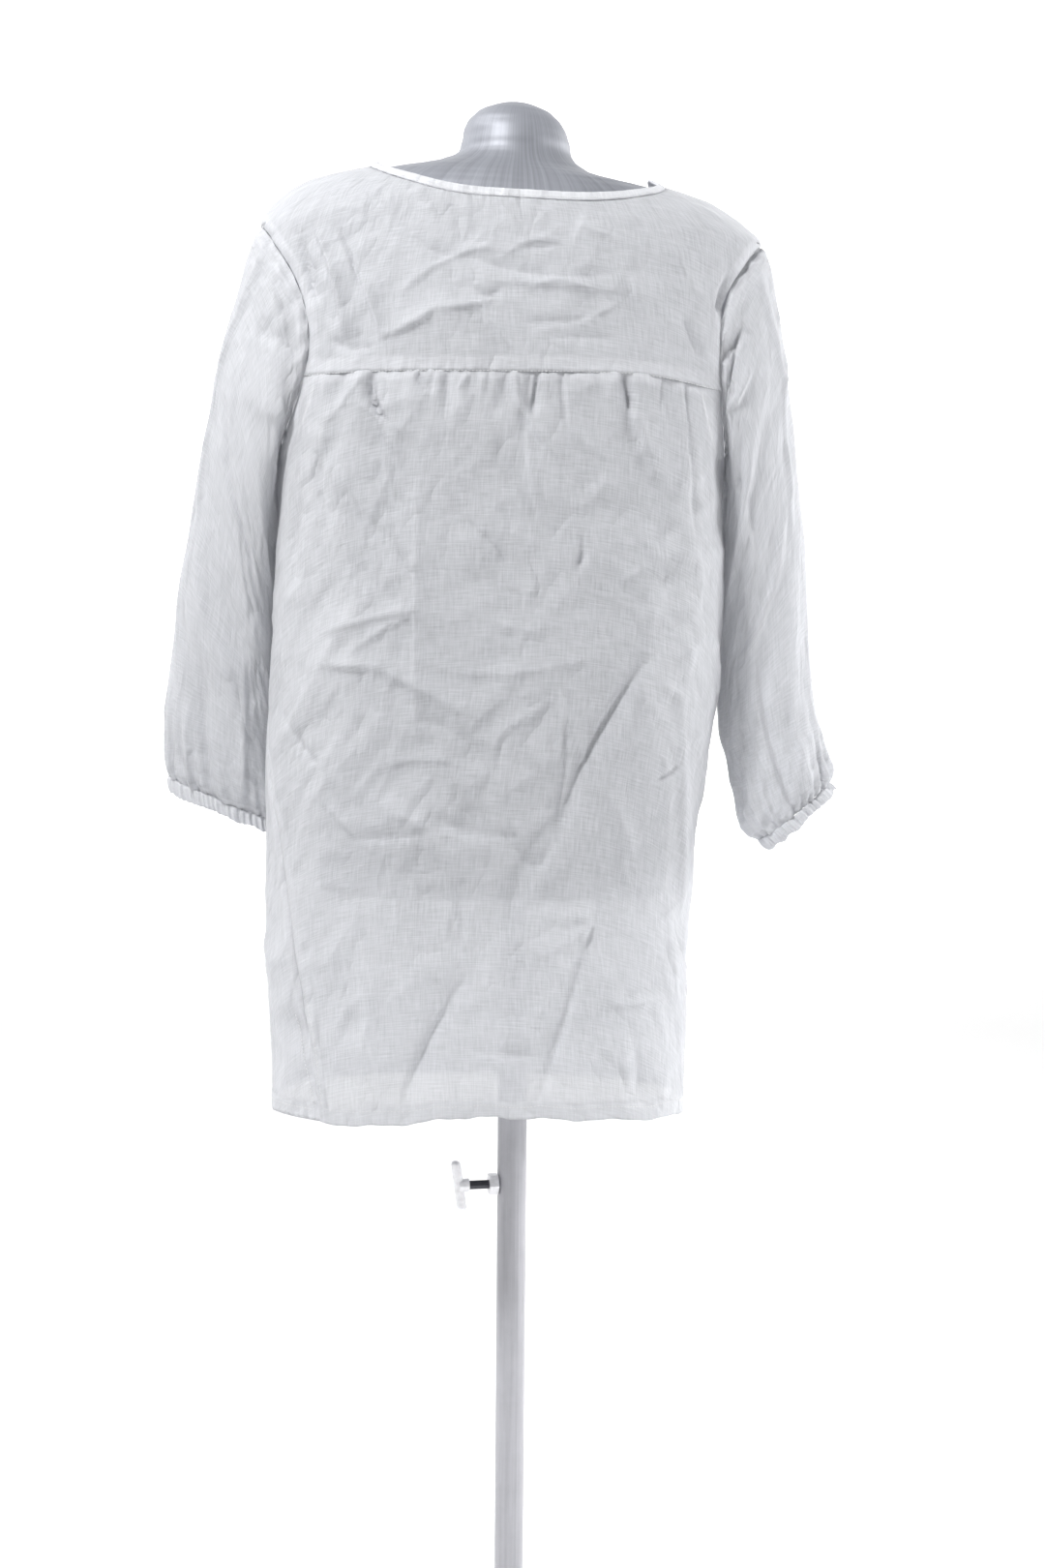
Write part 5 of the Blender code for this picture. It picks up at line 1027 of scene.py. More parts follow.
def build_sleeve(side, word, material):
    """Full set-in sleeve, with a gathered cap at the back and gathers into the cuff."""
    cloth = settings().cloth
    swing = np.arange(SLEEVE_COLUMNS_ROUND) * 2 * math.pi / SLEEVE_COLUMNS_ROUND
    last = len(SLEEVES[side]) - 1
    numbers = np.linspace(0, last, SLEEVE_ROWS + 1)
    rings = sleeve_rings(side, numbers, swing)
    normals = ring_normals(rings)
    share = (numbers / last)[:, None] * np.ones(len(swing))
    degrees = np.degrees(swing) * np.ones_like(share)
    scale = (SLEEVE_ROUND / 360, SLEEVE_LENGTH)
    rows = [tuple(value * scale[place % 2] for place, value in enumerate(row[:6])) + row[6:]
            for row in SLEEVE_CREASES[side]]
    places = np.stack([degrees * scale[0], share * scale[1]], axis=-1)
    offset = cloth.crease * fold_offset(places, rows, SLEEVE_CREASE_POWER)
    down = np.cumsum(np.linalg.norm(np.diff(rings, axis=0), axis=-1), axis=0).mean(axis=1)
    down = np.concatenate([[0.0], down])[:, None]
    left = down[-1] - down
    chance = np.random.RandomState(SEEDS[side])
    lumps = np.concatenate([places, places[:, :1] + (SLEEVE_ROUND, 0)], axis=1)
    away_from_join = smooth_step(degrees / SLEEVE_JOIN) * smooth_step((360 - degrees) / SLEEVE_JOIN)
    wrinkles = crumple(lumps, SEEDS[side], SLEEVE_CRUMPLE * cloth.crumple)[:, :-1]
    wrinkles *= away_from_join * at_least(CAP_CALM_LEAST, smooth_step(down / EDGE_CALM))
    offset += wrinkles * smooth_step(left / WRIST_CALM)
    for waves, depth, fade in SLEEVE_GATHERS:
        phase = chance.uniform(0, PHASES) + 1.3 * np.sin(swing + chance.uniform(0, PHASES))
        strength = 0.6 + 0.4 * np.sin(3 * swing + chance.uniform(0, PHASES))
        offset += depth * strength * np.sin(waves * swing + phase) * groove(left, fade)
    cap = groove(down, CAP_REACH) * smooth_step((np.sin(swing) + 0.1) / 0.5)
    offset += CAP_GATHER * np.sin(CAP_WAVES * swing + 0.8 * np.sin(4 * swing)) * cap
    offset += seam_dip(down, ARMHOLE_DIP, ARMHOLE_DIP_WIDTH)
    offset -= WRIST_DIP * groove(left, WRIST_DIP_WIDTH)
    middle = rings + normals * offset[..., None]
    doubled = np.maximum(SEAM_DOUBLED * near_edge(down, SEAM_ALLOWANCE, ALLOWANCE_FADE),
                         near_edge(left, WRIST_DOUBLED, WRIST_FADE))
    seam = groove(degrees - SLEEVE_SEAM_AT, SLEEVE_SEAM_DEGREES) * (down > SLEEVE_SEAM_FROM)
    middle -= normals * (SLEEVE_SEAM_DEPTH * seam)[..., None]
    around = np.where(degrees < SLEEVE_SEAM_AT, degrees, degrees - 360) * scale[0]
    round_flat = np.stack([around, places[..., 1]], axis=-1)
    thickness = np.full(share.shape, cloth.thickness)
    item = shell("tunic_sleeve_" + word, middle, normals, thickness, round_flat,
                 np.maximum(doubled * np.ones_like(share), seam), closed=True, wrap=SLEEVE_ROUND)
    dress(item, "sleeve_" + word, material, np.concatenate([middle, middle[:, :1]], axis=1))


def casing(name, start, end, normal, thickness, steps, gather, seed, twist=0.0):
    """Closed casing of cloth between two loops, plump in its middle, with small gathers; and its points."""
    chance = np.random.RandomState(seed)
    turn = np.arange(steps) * 2 * math.pi / steps
    count = len(start)
    around_it = np.arange(count) * 2 * math.pi / count
    ripples = []
    for waves, depth in gather:
        phase = chance.uniform(0, PHASES) + 2.2 * np.sin(around_it * 2 + chance.uniform(0, PHASES))
        strength = 0.65 + 0.35 * np.sin(around_it * 5 + chance.uniform(0, PHASES))
        ripples.append((depth * strength, waves * around_it + phase))
    rows = []
    for angle in turn:
        share = 0.5 - 0.5 * math.cos(angle)
        bulge = math.sin(angle)
        rounded = math.copysign(abs(bulge) ** CASING_ROUNDNESS, bulge)
        gathers = sum(depth * np.sin(phase + twist * bulge) for depth, phase in ripples)
        offset = rounded * thickness / 2 + gathers * (0.5 + 0.5 * abs(bulge))
        rows.append(start + (end - start) * share + normal * offset[:, None])
    points = np.stack(rows, axis=1)
    quads = grid_quads(count + 1, steps, True) % (count * steps)
    length = np.concatenate([[0.0], np.cumsum(np.linalg.norm(np.diff(start, axis=0), axis=-1))])
    width = float(np.linalg.norm(end - start, axis=-1).mean())
    flat = np.stack([np.repeat(length, steps), np.tile(turn * width / math.pi, count)], axis=-1)
    item = grid_mesh(name, points.reshape(-1, 3), [quads], flat, np.ones(count * steps))
    a, b, c, d = (points.reshape(-1, 3)[quads[:, place]] for place in range(4))
    if (a * np.cross(b, c)).sum() + (a * np.cross(c, d)).sum() < 0:
        item.data.flip_normals()
    return item, points


def build_cuff(side, word, material):
    """Narrow casing gathered over elastic."""
    swing = np.arange(CUFF_STEPS_ROUND) * 2 * math.pi / CUFF_STEPS_ROUND
    last = len(SLEEVES[side]) - 1
    rings = sleeve_rings(side, np.array([last - 0.5, last - 0.25, last]), swing)
    start, normal = rings[-1], ring_normals(rings)[-1]
    end = sleeve_section(CUFF_ENDS[side], swing)
    end += unit(end - start) * (CUFF_EDGE_WAVE * np.sin(9 * swing + 2 * np.sin(3 * swing)))[:, None]
    item, points = casing("tunic_cuff_" + word, start, end, normal, CUFF_THICKNESS, CUFF_SECTION_STEPS,
                          CUFF_GATHERS, SEEDS[side] + CUFF_SEED_STEP, CUFF_TWIST)
    dress_band(item, "cuff_" + word, material)


def build_binding(material):
    """Folded bias strip on the neckline, with small puckers."""
    columns = np.linspace(-1, 1, BINDING_COLUMNS + 1)
    shifted = columns - NECK_SHIFT * (1 - columns ** 2)
    weight = np.abs(np.sin(np.radians(90 * shifted))) ** NECK_CURVE
    back, front = (NECK_POINT - drop * (1 - weight) for drop in (BACK_NECK_DROP, FRONT_NECK_DROP))
    angle = np.concatenate([columns * 90, (180 - columns * 90)[::-1][1:-1]])
    height = np.concatenate([back, front[::-1][1:-1]])
    base, normal = BLOUSE.point(angle, height), BLOUSE.normal(angle, height)
    along = np.roll(base, -1, axis=0) - np.roll(base, 1, axis=0)
    away = unit(np.cross(normal, along))
    away *= np.sign(away[:, 2].mean())
    away, normal = (unit(sum(np.roll(ways, step, axis=0) for step in range(-reach, reach + 1)))
                    for ways, reach in ((away, BINDING_AWAY_STEPS), (normal, BINDING_NORMAL_STEPS)))
    lower, upper = base - away * BINDING_BELOW, base + away * (BINDING_WIDTH + BINDING_ABOVE)
    item, points = casing("tunic_binding", lower, upper, normal, BINDING_THICKNESS, BINDING_SECTION_STEPS,
                          BINDING_GATHERS, SEEDS["binding"])
    SURFACES["tunic_binding"] = (base + away * BINDING_STITCHES_UP, normal, BINDING_THICKNESS)
    dress_band(item, "neck_binding", material)


# Stitching

def stitch_line(points, normals, lift, pitch, length, radius, verts, faces):
    """Add small round-ended stitches along a line of points."""
    steps = np.linalg.norm(np.diff(points, axis=0), axis=-1)
    place = np.concatenate([[0.0], np.cumsum(steps)])
    count = int(place[-1] / pitch)
    turns = np.arange(STITCH_SIDES) * math.pi / 3
    at = (np.arange(count) + 0.5) * place[-1] / max(count, 1)

    def read(values, spots):
        """Values at distances along the line."""
        return np.stack([np.interp(spots, place, values[:, axis]) for axis in range(3)], axis=-1)

    centre, normal = read(points, at), unit(read(normals, at))
    along = unit(read(points, at + 0.001) - read(points, at - 0.001))
    side = np.cross(along, normal)
    for spot, out, way, beside in zip(centre, normal, along, side):
        first = len(verts)
        for share, thick in STITCH_PROFILE:
            sink = STITCH_SINK * radius * share ** 2
            middle = spot + out * (lift - sink) + way * share * length / 2
            for turn in turns:
                verts.append(middle + (out * math.sin(turn) + beside * math.cos(turn)) * radius * thick)
        last = first + STITCH_SIDES * (len(STITCH_PROFILE) - 1)
        for ring in range(first, last, STITCH_SIDES):
            for step in range(STITCH_SIDES):
                a, b = ring + step, ring + (step + 1) % STITCH_SIDES
                faces.append((a, b, b + STITCH_SIDES, a + STITCH_SIDES))
        faces.append(tuple(first + step for step in reversed(range(STITCH_SIDES))))
        faces.append(tuple(last + step for step in range(STITCH_SIDES)))


def surface_line(name, rows, columns):
    """Middle points, normals and half thickness along part of a made piece."""
    middle, normal, thickness = SURFACES[name]
    return middle[rows, columns], normal[rows, columns], float(np.max(thickness[rows, columns])) / 2


def rows_up(name, distance):
    """Number of rows that lie within this distance of a piece's lower edge."""
    middle = SURFACES[name][0]
    edge = middle[:, middle.shape[1] // 2]
    up = np.cumsum(np.linalg.norm(np.diff(edge[::-1], axis=0), axis=-1))
    return 1 + int(np.argmin(np.abs(up - distance)))


def build_stitching(material):
    """Sewing thread on the yoke seam, hems, vents and binding."""
    pitch = settings().cloth.stitch_pitch
    verts, faces, lines = [], [], []
    for name in ("tunic_back", "tunic_front"):
        hem_row = -rows_up(name, HEM_DEPTH - HEM_STITCHES_IN)
        lines.append(surface_line(name, hem_row, slice(4, -4)))
        for edge in (3, -4):
            lines.append(surface_line(name, slice(-rows_up(name, VENT_TOP - HEM_LEVEL), hem_row), edge))
    lines.append(surface_line("tunic_yoke", -rows_up("tunic_yoke", YOKE_STITCHES_AT), slice(2, -2)))
    points, normal, thickness = SURFACES["tunic_binding"]
    lines.append((np.vstack([points, points[:1]]), np.vstack([normal, normal[:1]]),
                  thickness * BINDING_STITCHES_OUT))
    for points, normal, lift in lines:
        stitch_line(points, normal, lift + STITCH_LIFT, pitch, pitch * STITCH_SHARE, STITCH_RADIUS,
                    verts, faces)
    put_on_form(plain_mesh("tunic_stitching", verts, faces), material)


# Dress form

def build_form(material):
    """Smooth hollow torso with its domed neck cap."""
    knots = FORM.knots
    levels = np.concatenate([np.linspace(a, b, FORM_ROWS_PER_RING, endpoint=False)
                             for a, b in zip(knots, knots[1:])] + [knots[-1:]])
    angle = np.arange(FORM_COLUMNS_ROUND) * 360 / FORM_COLUMNS_ROUND * np.ones((len(levels), 1))
    height = levels[:, None] * np.ones(FORM_COLUMNS_ROUND)
    points, normal = FORM.point(angle, height), FORM.normal(angle, height)
    top = np.array(FORM_TOP)
    caps, cap_normals = [], []
    for share in FORM_CAP_SHARES:
        ring = points[-1] + (top - points[-1]) * share
        ring[:, 2] = points[-1][:, 2] + (top[2] - points[-1][:, 2]) * (1 - (1 - share) ** 2)
        caps.append(ring)
        cap_normals.append(unit(normal[-1] * (1 - share) + np.array([0, 0, 1.0]) * (0.4 + share)))
    points, normal = np.concatenate([points, caps]), np.concatenate([normal, cap_normals])
    points, normal = points[::-1], normal[::-1]
    rows = len(points)
    verts = np.concatenate([points.reshape(-1, 3), (points - normal * FORM_WALL).reshape(-1, 3)])
    inner = rows * FORM_COLUMNS_ROUND
    quads = [grid_quads(rows, FORM_COLUMNS_ROUND, True, 0, True),
             grid_quads(rows, FORM_COLUMNS_ROUND, True, inner)]
    edge = np.arange(FORM_COLUMNS_ROUND) + (rows - 1) * FORM_COLUMNS_ROUND
    after = np.roll(edge, -1)
    quads.append(np.stack([edge, after, after + inner, edge + inner], axis=-1)[:, ::-1])
    faces = [tuple(quad) for quad in np.concatenate(quads)]
    faces.append(tuple(range(FORM_COLUMNS_ROUND)))
    faces.append(tuple(reversed(range(inner, inner + FORM_COLUMNS_ROUND))))
    put_on_form(plain_mesh("form_shell_finish", verts, faces), material, "form_shell")


# Materials

class Nodes:
    """Short way to add and join shader nodes."""

    def __init__(self, name):
        self.material = bpy.data.materials.new(name)
        self.material.use_nodes = True
        self.tree = self.material.node_tree
        self.tree.nodes.clear()

    def add(self, kind, links=None, **values):
        """Add a node; links maps input names or numbers to sockets, values are its settings."""
        node = self.tree.nodes.new(kind)
        for name, value in values.items():
            if hasattr(node, name):
                setattr(node, name, value)
            else:
                node.inputs[name.replace("_", " ")].default_value = value
        for name, socket in (links or {}).items():
            self.tree.links.new(socket, node.inputs[name])
        return node

    def math(self, operation, first, second):
        """A Math node between two sockets or numbers."""
        node = self.tree.nodes.new("ShaderNodeMath")
        node.operation = operation
        for place, value in enumerate((first, second)):
            if isinstance(value, (int, float)):
                node.inputs[place].default_value = value
            else:
                self.tree.links.new(value, node.inputs[place])
        return node.outputs[0]

    def noise(self, coordinates, stretch, scale, detail=2.0, roughness=0.5):
        """Noise over stretched coordinates."""
        mapping = self.add("ShaderNodeMapping", {"Vector": coordinates}, Scale=stretch)
        return self.add("ShaderNodeTexNoise", {"Vector": mapping.outputs[0]}, Scale=scale, Detail=detail,
                        Roughness=roughness).outputs[0]

    def ramp(self, value, *stops):
        """Colour ramp with (position, colour) stops."""
        node = self.add("ShaderNodeValToRGB", {"Fac": value})
        elements = node.color_ramp.elements
        while len(elements) < len(stops):
            elements.new(0.5)
        for element, (position, colour) in zip(elements, stops):
            element.position = position
            element.color = (*colour, 1.0)
        return node.outputs[0]

    def bump(self, height, distance, strength=1.0, before=None):
        """Bump from a height in metres."""
        links = {"Height": height}
        if before is not None:
            links["Normal"] = before
        return self.add("ShaderNodeBump", links, Distance=distance, Strength=strength).outputs[0]

    def surface(self, colour, **values):
        """A Principled shader with this colour; values are its other inputs, sockets or numbers."""
        links = {name: value for name, value in values.items() if isinstance(value, bpy.types.NodeSocket)}
        numbers = {name: value for name, value in values.items() if name not in links}
        return self.add("ShaderNodeBsdfPrincipled", {"Base Color": colour, **links}, **numbers).outputs[0]

    def finish(self, shader):
        """Join a shader to the output; the material is then done."""
        self.add("ShaderNodeOutputMaterial", {"Surface": shader})
        return self.material


def shade(colour, factor):
    """A colour made lighter or darker."""
    return tuple(min(1.0, part * factor) for part in colour)


def linen_material(name, see_through):
    """Thin plain weave with slubs: some light comes through, less where the cloth is doubled."""
    cloth = settings().cloth
    n = Nodes(name)
    flat = n.add("ShaderNodeUVMap", uv_map="weave").outputs[0]
    warp = n.noise(flat, (1.0, 0.045, 1.0), 1100.0, 1.0)
    weft = n.noise(flat, (0.045, 1.0, 1.0), 1100.0, 1.0)
    slub_across = n.noise(flat, (0.11, 1.0, 1.0), 520.0, 1.0)
    slub_down = n.noise(flat, (1.0, 0.11, 1.0), 520.0, 1.0)
    patches = n.noise(flat, (1.0, 1.0, 1.0), 16.0, 3.0)
    threads = n.math("ADD", warp, weft)
    slubs = n.math("ADD", n.math("POWER", slub_across, 4.0), n.math("POWER", slub_down, 4.0))
    tone = n.math("ADD", n.math("MULTIPLY", threads, 0.20), n.math("MULTIPLY", slubs, 0.5))
    tone = n.math("ADD", tone, n.math("MULTIPLY", patches, 0.20))
    colour = tuple(cloth.colour)
    dye = n.ramp(tone, (0.20, shade(colour, 0.86)), (0.38, colour), (0.60, shade(colour, 1.10)))
    height = n.math("ADD", n.math("MULTIPLY", threads, 0.5), slubs)
    rumple = n.noise(flat, (1.0, 0.62, 1.0), 30.0, 2.5, 0.45)
    worn = n.noise(flat, (1.0, 1.0, 1.0), 9.0, 1.0)
    ridge = n.math("MULTIPLY", n.math("ABSOLUTE", n.math("SUBTRACT", rumple, 0.5), 0.0),
                   n.math("SUBTRACT", n.math("MULTIPLY", worn, 2.4), 0.4))
    soft = n.bump(ridge, cloth.rumple_depth, 1.0)
    normal = n.bump(height, cloth.slub_depth, 0.8, soft)
    fibre = n.surface(dye, Normal=normal, Roughness=0.86, Specular_IOR_Level=0.25, Sheen_Weight=0.18,
                      Sheen_Roughness=0.45)
    glow = n.add("ShaderNodeBsdfTranslucent", {"Color": dye, "Normal": normal})
    clear = n.add("ShaderNodeBsdfTransparent")
    doubled = n.add("ShaderNodeAttribute", attribute_name="doubled").outputs["Fac"]
    single = n.math("SUBTRACT", 1.0, n.math("MULTIPLY", doubled, 0.75))
    open_weave = n.math("MULTIPLY", n.math("SUBTRACT", 3.2, threads), see_through * 0.4545)
    gaps = n.math("MULTIPLY", single, open_weave)
    body = n.add("ShaderNodeMixShader", {1: fibre, 2: glow.outputs[0]})
    body.inputs[0].default_value = 0.20
    both = n.add("ShaderNodeMixShader", {0: gaps, 1: body.outputs[0], 2: clear.outputs[0]})
    return n.finish(both.outputs[0])


def thread_material():
    """Twisted sewing thread."""
    n = Nodes("sewing_thread")
    place = n.add("ShaderNodeTexCoord").outputs["Object"]
    twist = n.noise(place, (1.0, 1.0, 1.0), 2400.0)
    dye = n.ramp(twist, (0.35, (0.62, 0.62, 0.63)), (0.7, (0.86, 0.86, 0.86)))
    return n.finish(n.surface(dye, Normal=n.bump(twist, 0.0001, 0.5), Roughness=0.7))


def lacquer_material():
    """Silver-grey semi-gloss lacquer with faint upright streaks."""
    form = settings().form
    n = Nodes("form_lacquer")
    place = n.add("ShaderNodeTexCoord").outputs["Object"]
    turn = n.add("ShaderNodeTexGradient", {"Vector": place}, gradient_type="RADIAL").outputs["Fac"]
    height = n.add("ShaderNodeSeparateXYZ", {"Vector": place}).outputs["Z"]
    brushed = n.add("ShaderNodeCombineXYZ", {"X": turn, "Y": height}).outputs[0]
    streaks = n.noise(brushed, (1.0, 0.02, 1.0), 260.0, 3.0)
    cloudy = n.noise(place, (1.0, 1.0, 1.0), 9.0, 3.0)
    tone = n.math("ADD", n.math("MULTIPLY", streaks, 0.65), n.math("MULTIPLY", cloudy, 0.35))
    colour = tuple(form.colour)
    paint = n.ramp(tone, (0.32, shade(colour, 0.80)), (0.5, colour), (0.68, shade(colour, 1.18)))
    rough = n.add("ShaderNodeMapRange", {"Value": cloudy}, To_Min=form.roughness - 0.05,
                  To_Max=form.roughness + 0.07).outputs[0]
    return n.finish(n.surface(paint, Roughness=rough, Normal=n.bump(tone, 0.0004, 0.25), Metallic=0.25))


def metal_material(name, colour, roughness, metallic, grain, stretch):
    """Painted or bare metal with fine grain, and scuffs that change its gloss."""
    n = Nodes(name)
    place = n.add("ShaderNodeTexCoord").outputs["Object"]
    fine = n.noise(place, stretch, grain, 3.0)
    scuffs = n.noise(place, (1.0, 1.0, 1.0), 46.0, 5.0, 0.62)
    tone = n.math("ADD", n.math("MULTIPLY", fine, 0.6), n.math("MULTIPLY", scuffs, 0.4))
    paint = n.ramp(tone, (0.30, shade(colour, 0.84)), (0.52, colour), (0.75, shade(colour, 1.12)))
    rough = n.add("ShaderNodeMapRange", {"Value": scuffs}, From_Min=0.3, From_Max=0.7,
                  To_Min=max(0.05, roughness - 0.08), To_Max=min(1.0, roughness + 0.12)).outputs[0]
    return n.finish(n.surface(paint, Roughness=rough, Normal=n.bump(fine, 0.00012, 0.5), Metallic=metallic))


def board_material():
    """Grey painted board with a soft grain."""
    n = Nodes("bottom_board")
    place = n.add("ShaderNodeTexCoord").outputs["Object"]
    grain = n.noise(place, (0.12, 1.0, 1.0), 130.0, 4.0)
    paint = n.ramp(grain, (0.3, (0.15, 0.15, 0.16)), (0.7, (0.23, 0.23, 0.24)))
    return n.finish(n.surface(paint, Normal=n.bump(grain, 0.0004, 0.5), Roughness=0.6))


def backdrop_material(name, colour, glow):
    """Pale matt surface with a very faint mottle, which glows a little."""
    n = Nodes(name)
    place = n.add("ShaderNodeTexCoord").outputs["Object"]
    mottle = n.noise(place, (1.0, 1.0, 1.0), 3.0, 3.0)
    paint = n.ramp(mottle, (0.3, shade(colour, 0.985)), (0.7, colour))
    shader = n.add("ShaderNodeBsdfPrincipled", {"Base Color": paint, "Emission Color": paint}, Roughness=0.9,
                   Emission_Strength=glow)
    return n.finish(shader.outputs[0])


def add_area(name, place, size, power):
    """Square soft light that points at the blouse."""
    light = bpy.data.lights.new(name, "AREA")
    light.size = size
    light.energy = power
    item = bpy.data.objects.new(name, light)
    item.location = place
    item.rotation_euler = (Vector(LIGHT_AIM) - Vector(place)).to_track_quat("-Z", "Y").to_euler()
    bpy.context.collection.objects.link(item)


# Properties, operators and panel

class TUNIC_PG_cloth(bpy.types.PropertyGroup):
    """Sizes and colour of the linen."""
    thickness: FloatProperty(name="Thickness", description="Thickness of the single linen",
                             default=0.0006, min=0.0002, max=0.002, unit="LENGTH")
    crease: FloatProperty(name="Crease", description="Depth of the placed creases, as a share of the usual",
                          default=2.8, min=0.0, max=4.0)
    crumple: FloatProperty(name="Crumple", description="Depth of the small creases, as a share of the usual",
                           default=1.3, min=0.0, max=3.0)
    rumple_depth: FloatProperty(name="Rumple Depth", description="Height of the finest creases",
                                default=0.015, min=0.0, max=0.03, unit="LENGTH")
    slub_depth: FloatProperty(name="Slub Depth", description="Height of the slubs in the weave",
                              default=0.0005, min=0.0, max=0.002, unit="LENGTH")
    stitch_pitch: FloatProperty(name="Stitch Pitch", description="Distance from one stitch to the next",
                                default=0.0031, min=0.001, max=0.01, unit="LENGTH")
    see_through: FloatProperty(name="See Through", default=0.36, min=0.0, max=0.6, subtype="FACTOR",
                               description="Share of light that passes each layer unchanged")
    colour: FloatVectorProperty(name="Colour", description="Colour of the linen", size=3, min=0.0, max=1.0,
                                default=(0.675, 0.684, 0.712), subtype="COLOR")


class TUNIC_PG_form(bpy.types.PropertyGroup):
    """Finish of the dress form."""
    roughness: FloatProperty(name="Roughness", description="Roughness of the lacquer", default=0.52,
                             min=0.05, max=1.0, subtype="FACTOR")
    colour: FloatVectorProperty(name="Colour", description="Colour of the lacquer", size=3, min=0.0, max=1.0,
                                default=(0.26, 0.27, 0.30), subtype="COLOR")


class TUNIC_PG_stand(bpy.types.PropertyGroup):
    """Finish of the stand."""
    paint: FloatVectorProperty(name="Pole Paint", description="Colour of the pole and foot", size=3,
                               min=0.0, max=1.0, default=(0.42, 0.42, 0.45), subtype="COLOR")
    steel: FloatVectorProperty(name="Steel", description="Colour of the bare steel", size=3,
                               min=0.0, max=1.0, default=(0.72, 0.72, 0.74), subtype="COLOR")


class TUNIC_PG_stage(bpy.types.PropertyGroup):
    """Light and floor of the studio."""
    sky: FloatProperty(name="Sky", description="Strength of the even light all round", default=0.19,
                       min=0.0, max=5.0)
    key_power: FloatProperty(name="Key Light", description="Power of the main light", default=71.0,
                             min=0.0, max=1000.0, unit="POWER")
    floor_size: FloatProperty(name="Floor Size", description="Side of the square floor", default=24.0,
                              min=2.0, max=100.0, unit="LENGTH")
    backdrop: FloatVectorProperty(name="Backdrop", description="Colour of the floor and backdrop", size=3,
                                  min=0.0, max=1.0, default=(0.93, 0.93, 0.93), subtype="COLOR")
    backdrop_distance: FloatProperty(name="Backdrop Distance", description="Distance of the backdrop",
                                     default=5.0, min=1.0, max=30.0, unit="LENGTH")


class TUNIC_PG_settings(bpy.types.PropertyGroup):
    """All values of the tunic scene."""
    cloth: PointerProperty(type=TUNIC_PG_cloth, name="Cloth", description="Linen of the blouse")
    form: PointerProperty(type=TUNIC_PG_form, name="Form", description="Dress form")
    stand: PointerProperty(type=TUNIC_PG_stand, name="Stand", description="Tube stand")
    stage: PointerProperty(type=TUNIC_PG_stage, name="Stage", description="Studio")


def shared_linen(folded=False):
    """The blouse's linen, made once; folded is in several layers, which let little light through."""
    name = "folded_linen" if folded else "tunic_linen"
    see_through = FOLDED_SEE_THROUGH if folded else settings().cloth.see_through
    return bpy.data.materials.get(name) or linen_material(name, see_through)


class TUNIC_OT_form(bpy.types.Operator):
    """Build the dress form's smooth lacquered torso"""
    bl_idname = "tunic.form"
    bl_label = "Dress Form"

    def execute(self, context):
        build_form(lacquer_material())
        return {"FINISHED"}


class TUNIC_OT_body(bpy.types.Operator):
    """Build the yoke, gathered back and front of the blouse"""
    bl_idname = "tunic.body"
    bl_label = "Yoke, Back and Front"

    def execute(self, context):
        linen = shared_linen()
        build_back_yoke(linen)
        build_back_panel(linen)
        build_front_panel(linen)
        return {"FINISHED"}


class TUNIC_OT_sleeves(bpy.types.Operator):
    """Build both sleeves"""
    bl_idname = "tunic.sleeves"
    bl_label = "Sleeves"

    def execute(self, context):
        for side, word in ((-1, "left"), (1, "right")):
            build_sleeve(side, word, shared_linen())
        return {"FINISHED"}


class TUNIC_OT_edges(bpy.types.Operator):
    """Build the elastic cuffs and the neck binding"""
    bl_idname = "tunic.edges"
    bl_label = "Cuffs and Binding"

    def execute(self, context):
        linen = shared_linen(folded=True)
        for side, word in ((-1, "left"), (1, "right")):
            build_cuff(side, word, linen)
        build_binding(linen)
        return {"FINISHED"}


class TUNIC_OT_stitching(bpy.types.Operator):
    """Sew the stitches on the seams, hems, vents and binding"""
    bl_idname = "tunic.stitching"
    bl_label = "Stitching"

    def execute(self, context):
        build_stitching(thread_material())
        return {"FINISHED"}


class TUNIC_OT_stand(bpy.types.Operator):
    """Finish the tubes, clamp, collar, board and foot"""
    bl_idname = "tunic.stand"
    bl_label = "Stand Finish"

    def execute(self, context):
        stand = settings().stand
        upright, even = (1.0, 1.0, 0.04), (1.0, 1.0, 1.0)
        paint = metal_material("pole_paint", tuple(stand.paint), 0.42, 0.0, 240.0, upright)
        steel = metal_material("bright_steel", tuple(stand.steel), 0.28, 1.0, 300.0, upright)
        # Handle and nut: a paler copy of the steel, partly the handle's own bright metal and partly a painted
        # reflection of the white studio
        zinc_and_painted_reflection = metal_material("zinc_handle_painted_reflection", shade(tuple(stand.steel), 1.2), 0.45, 0.35, 220.0, even)
        dark = metal_material("dark_steel", (0.07, 0.07, 0.08), 0.42, 0.8, 260.0, even)
        finishes = {"stand_tube": paint, "base_plate": paint, "base_socket": paint, "mast_tube": steel,
                    "clamp_handle": zinc_and_painted_reflection, "clamp_nut": zinc_and_painted_reflection, "clamp_screw": dark, "mast_flange": dark,
                    "form_plate": board_material()}
        for node, material in finishes.items():
            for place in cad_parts[node].material_slots:
                place.material = material
        return {"FINISHED"}


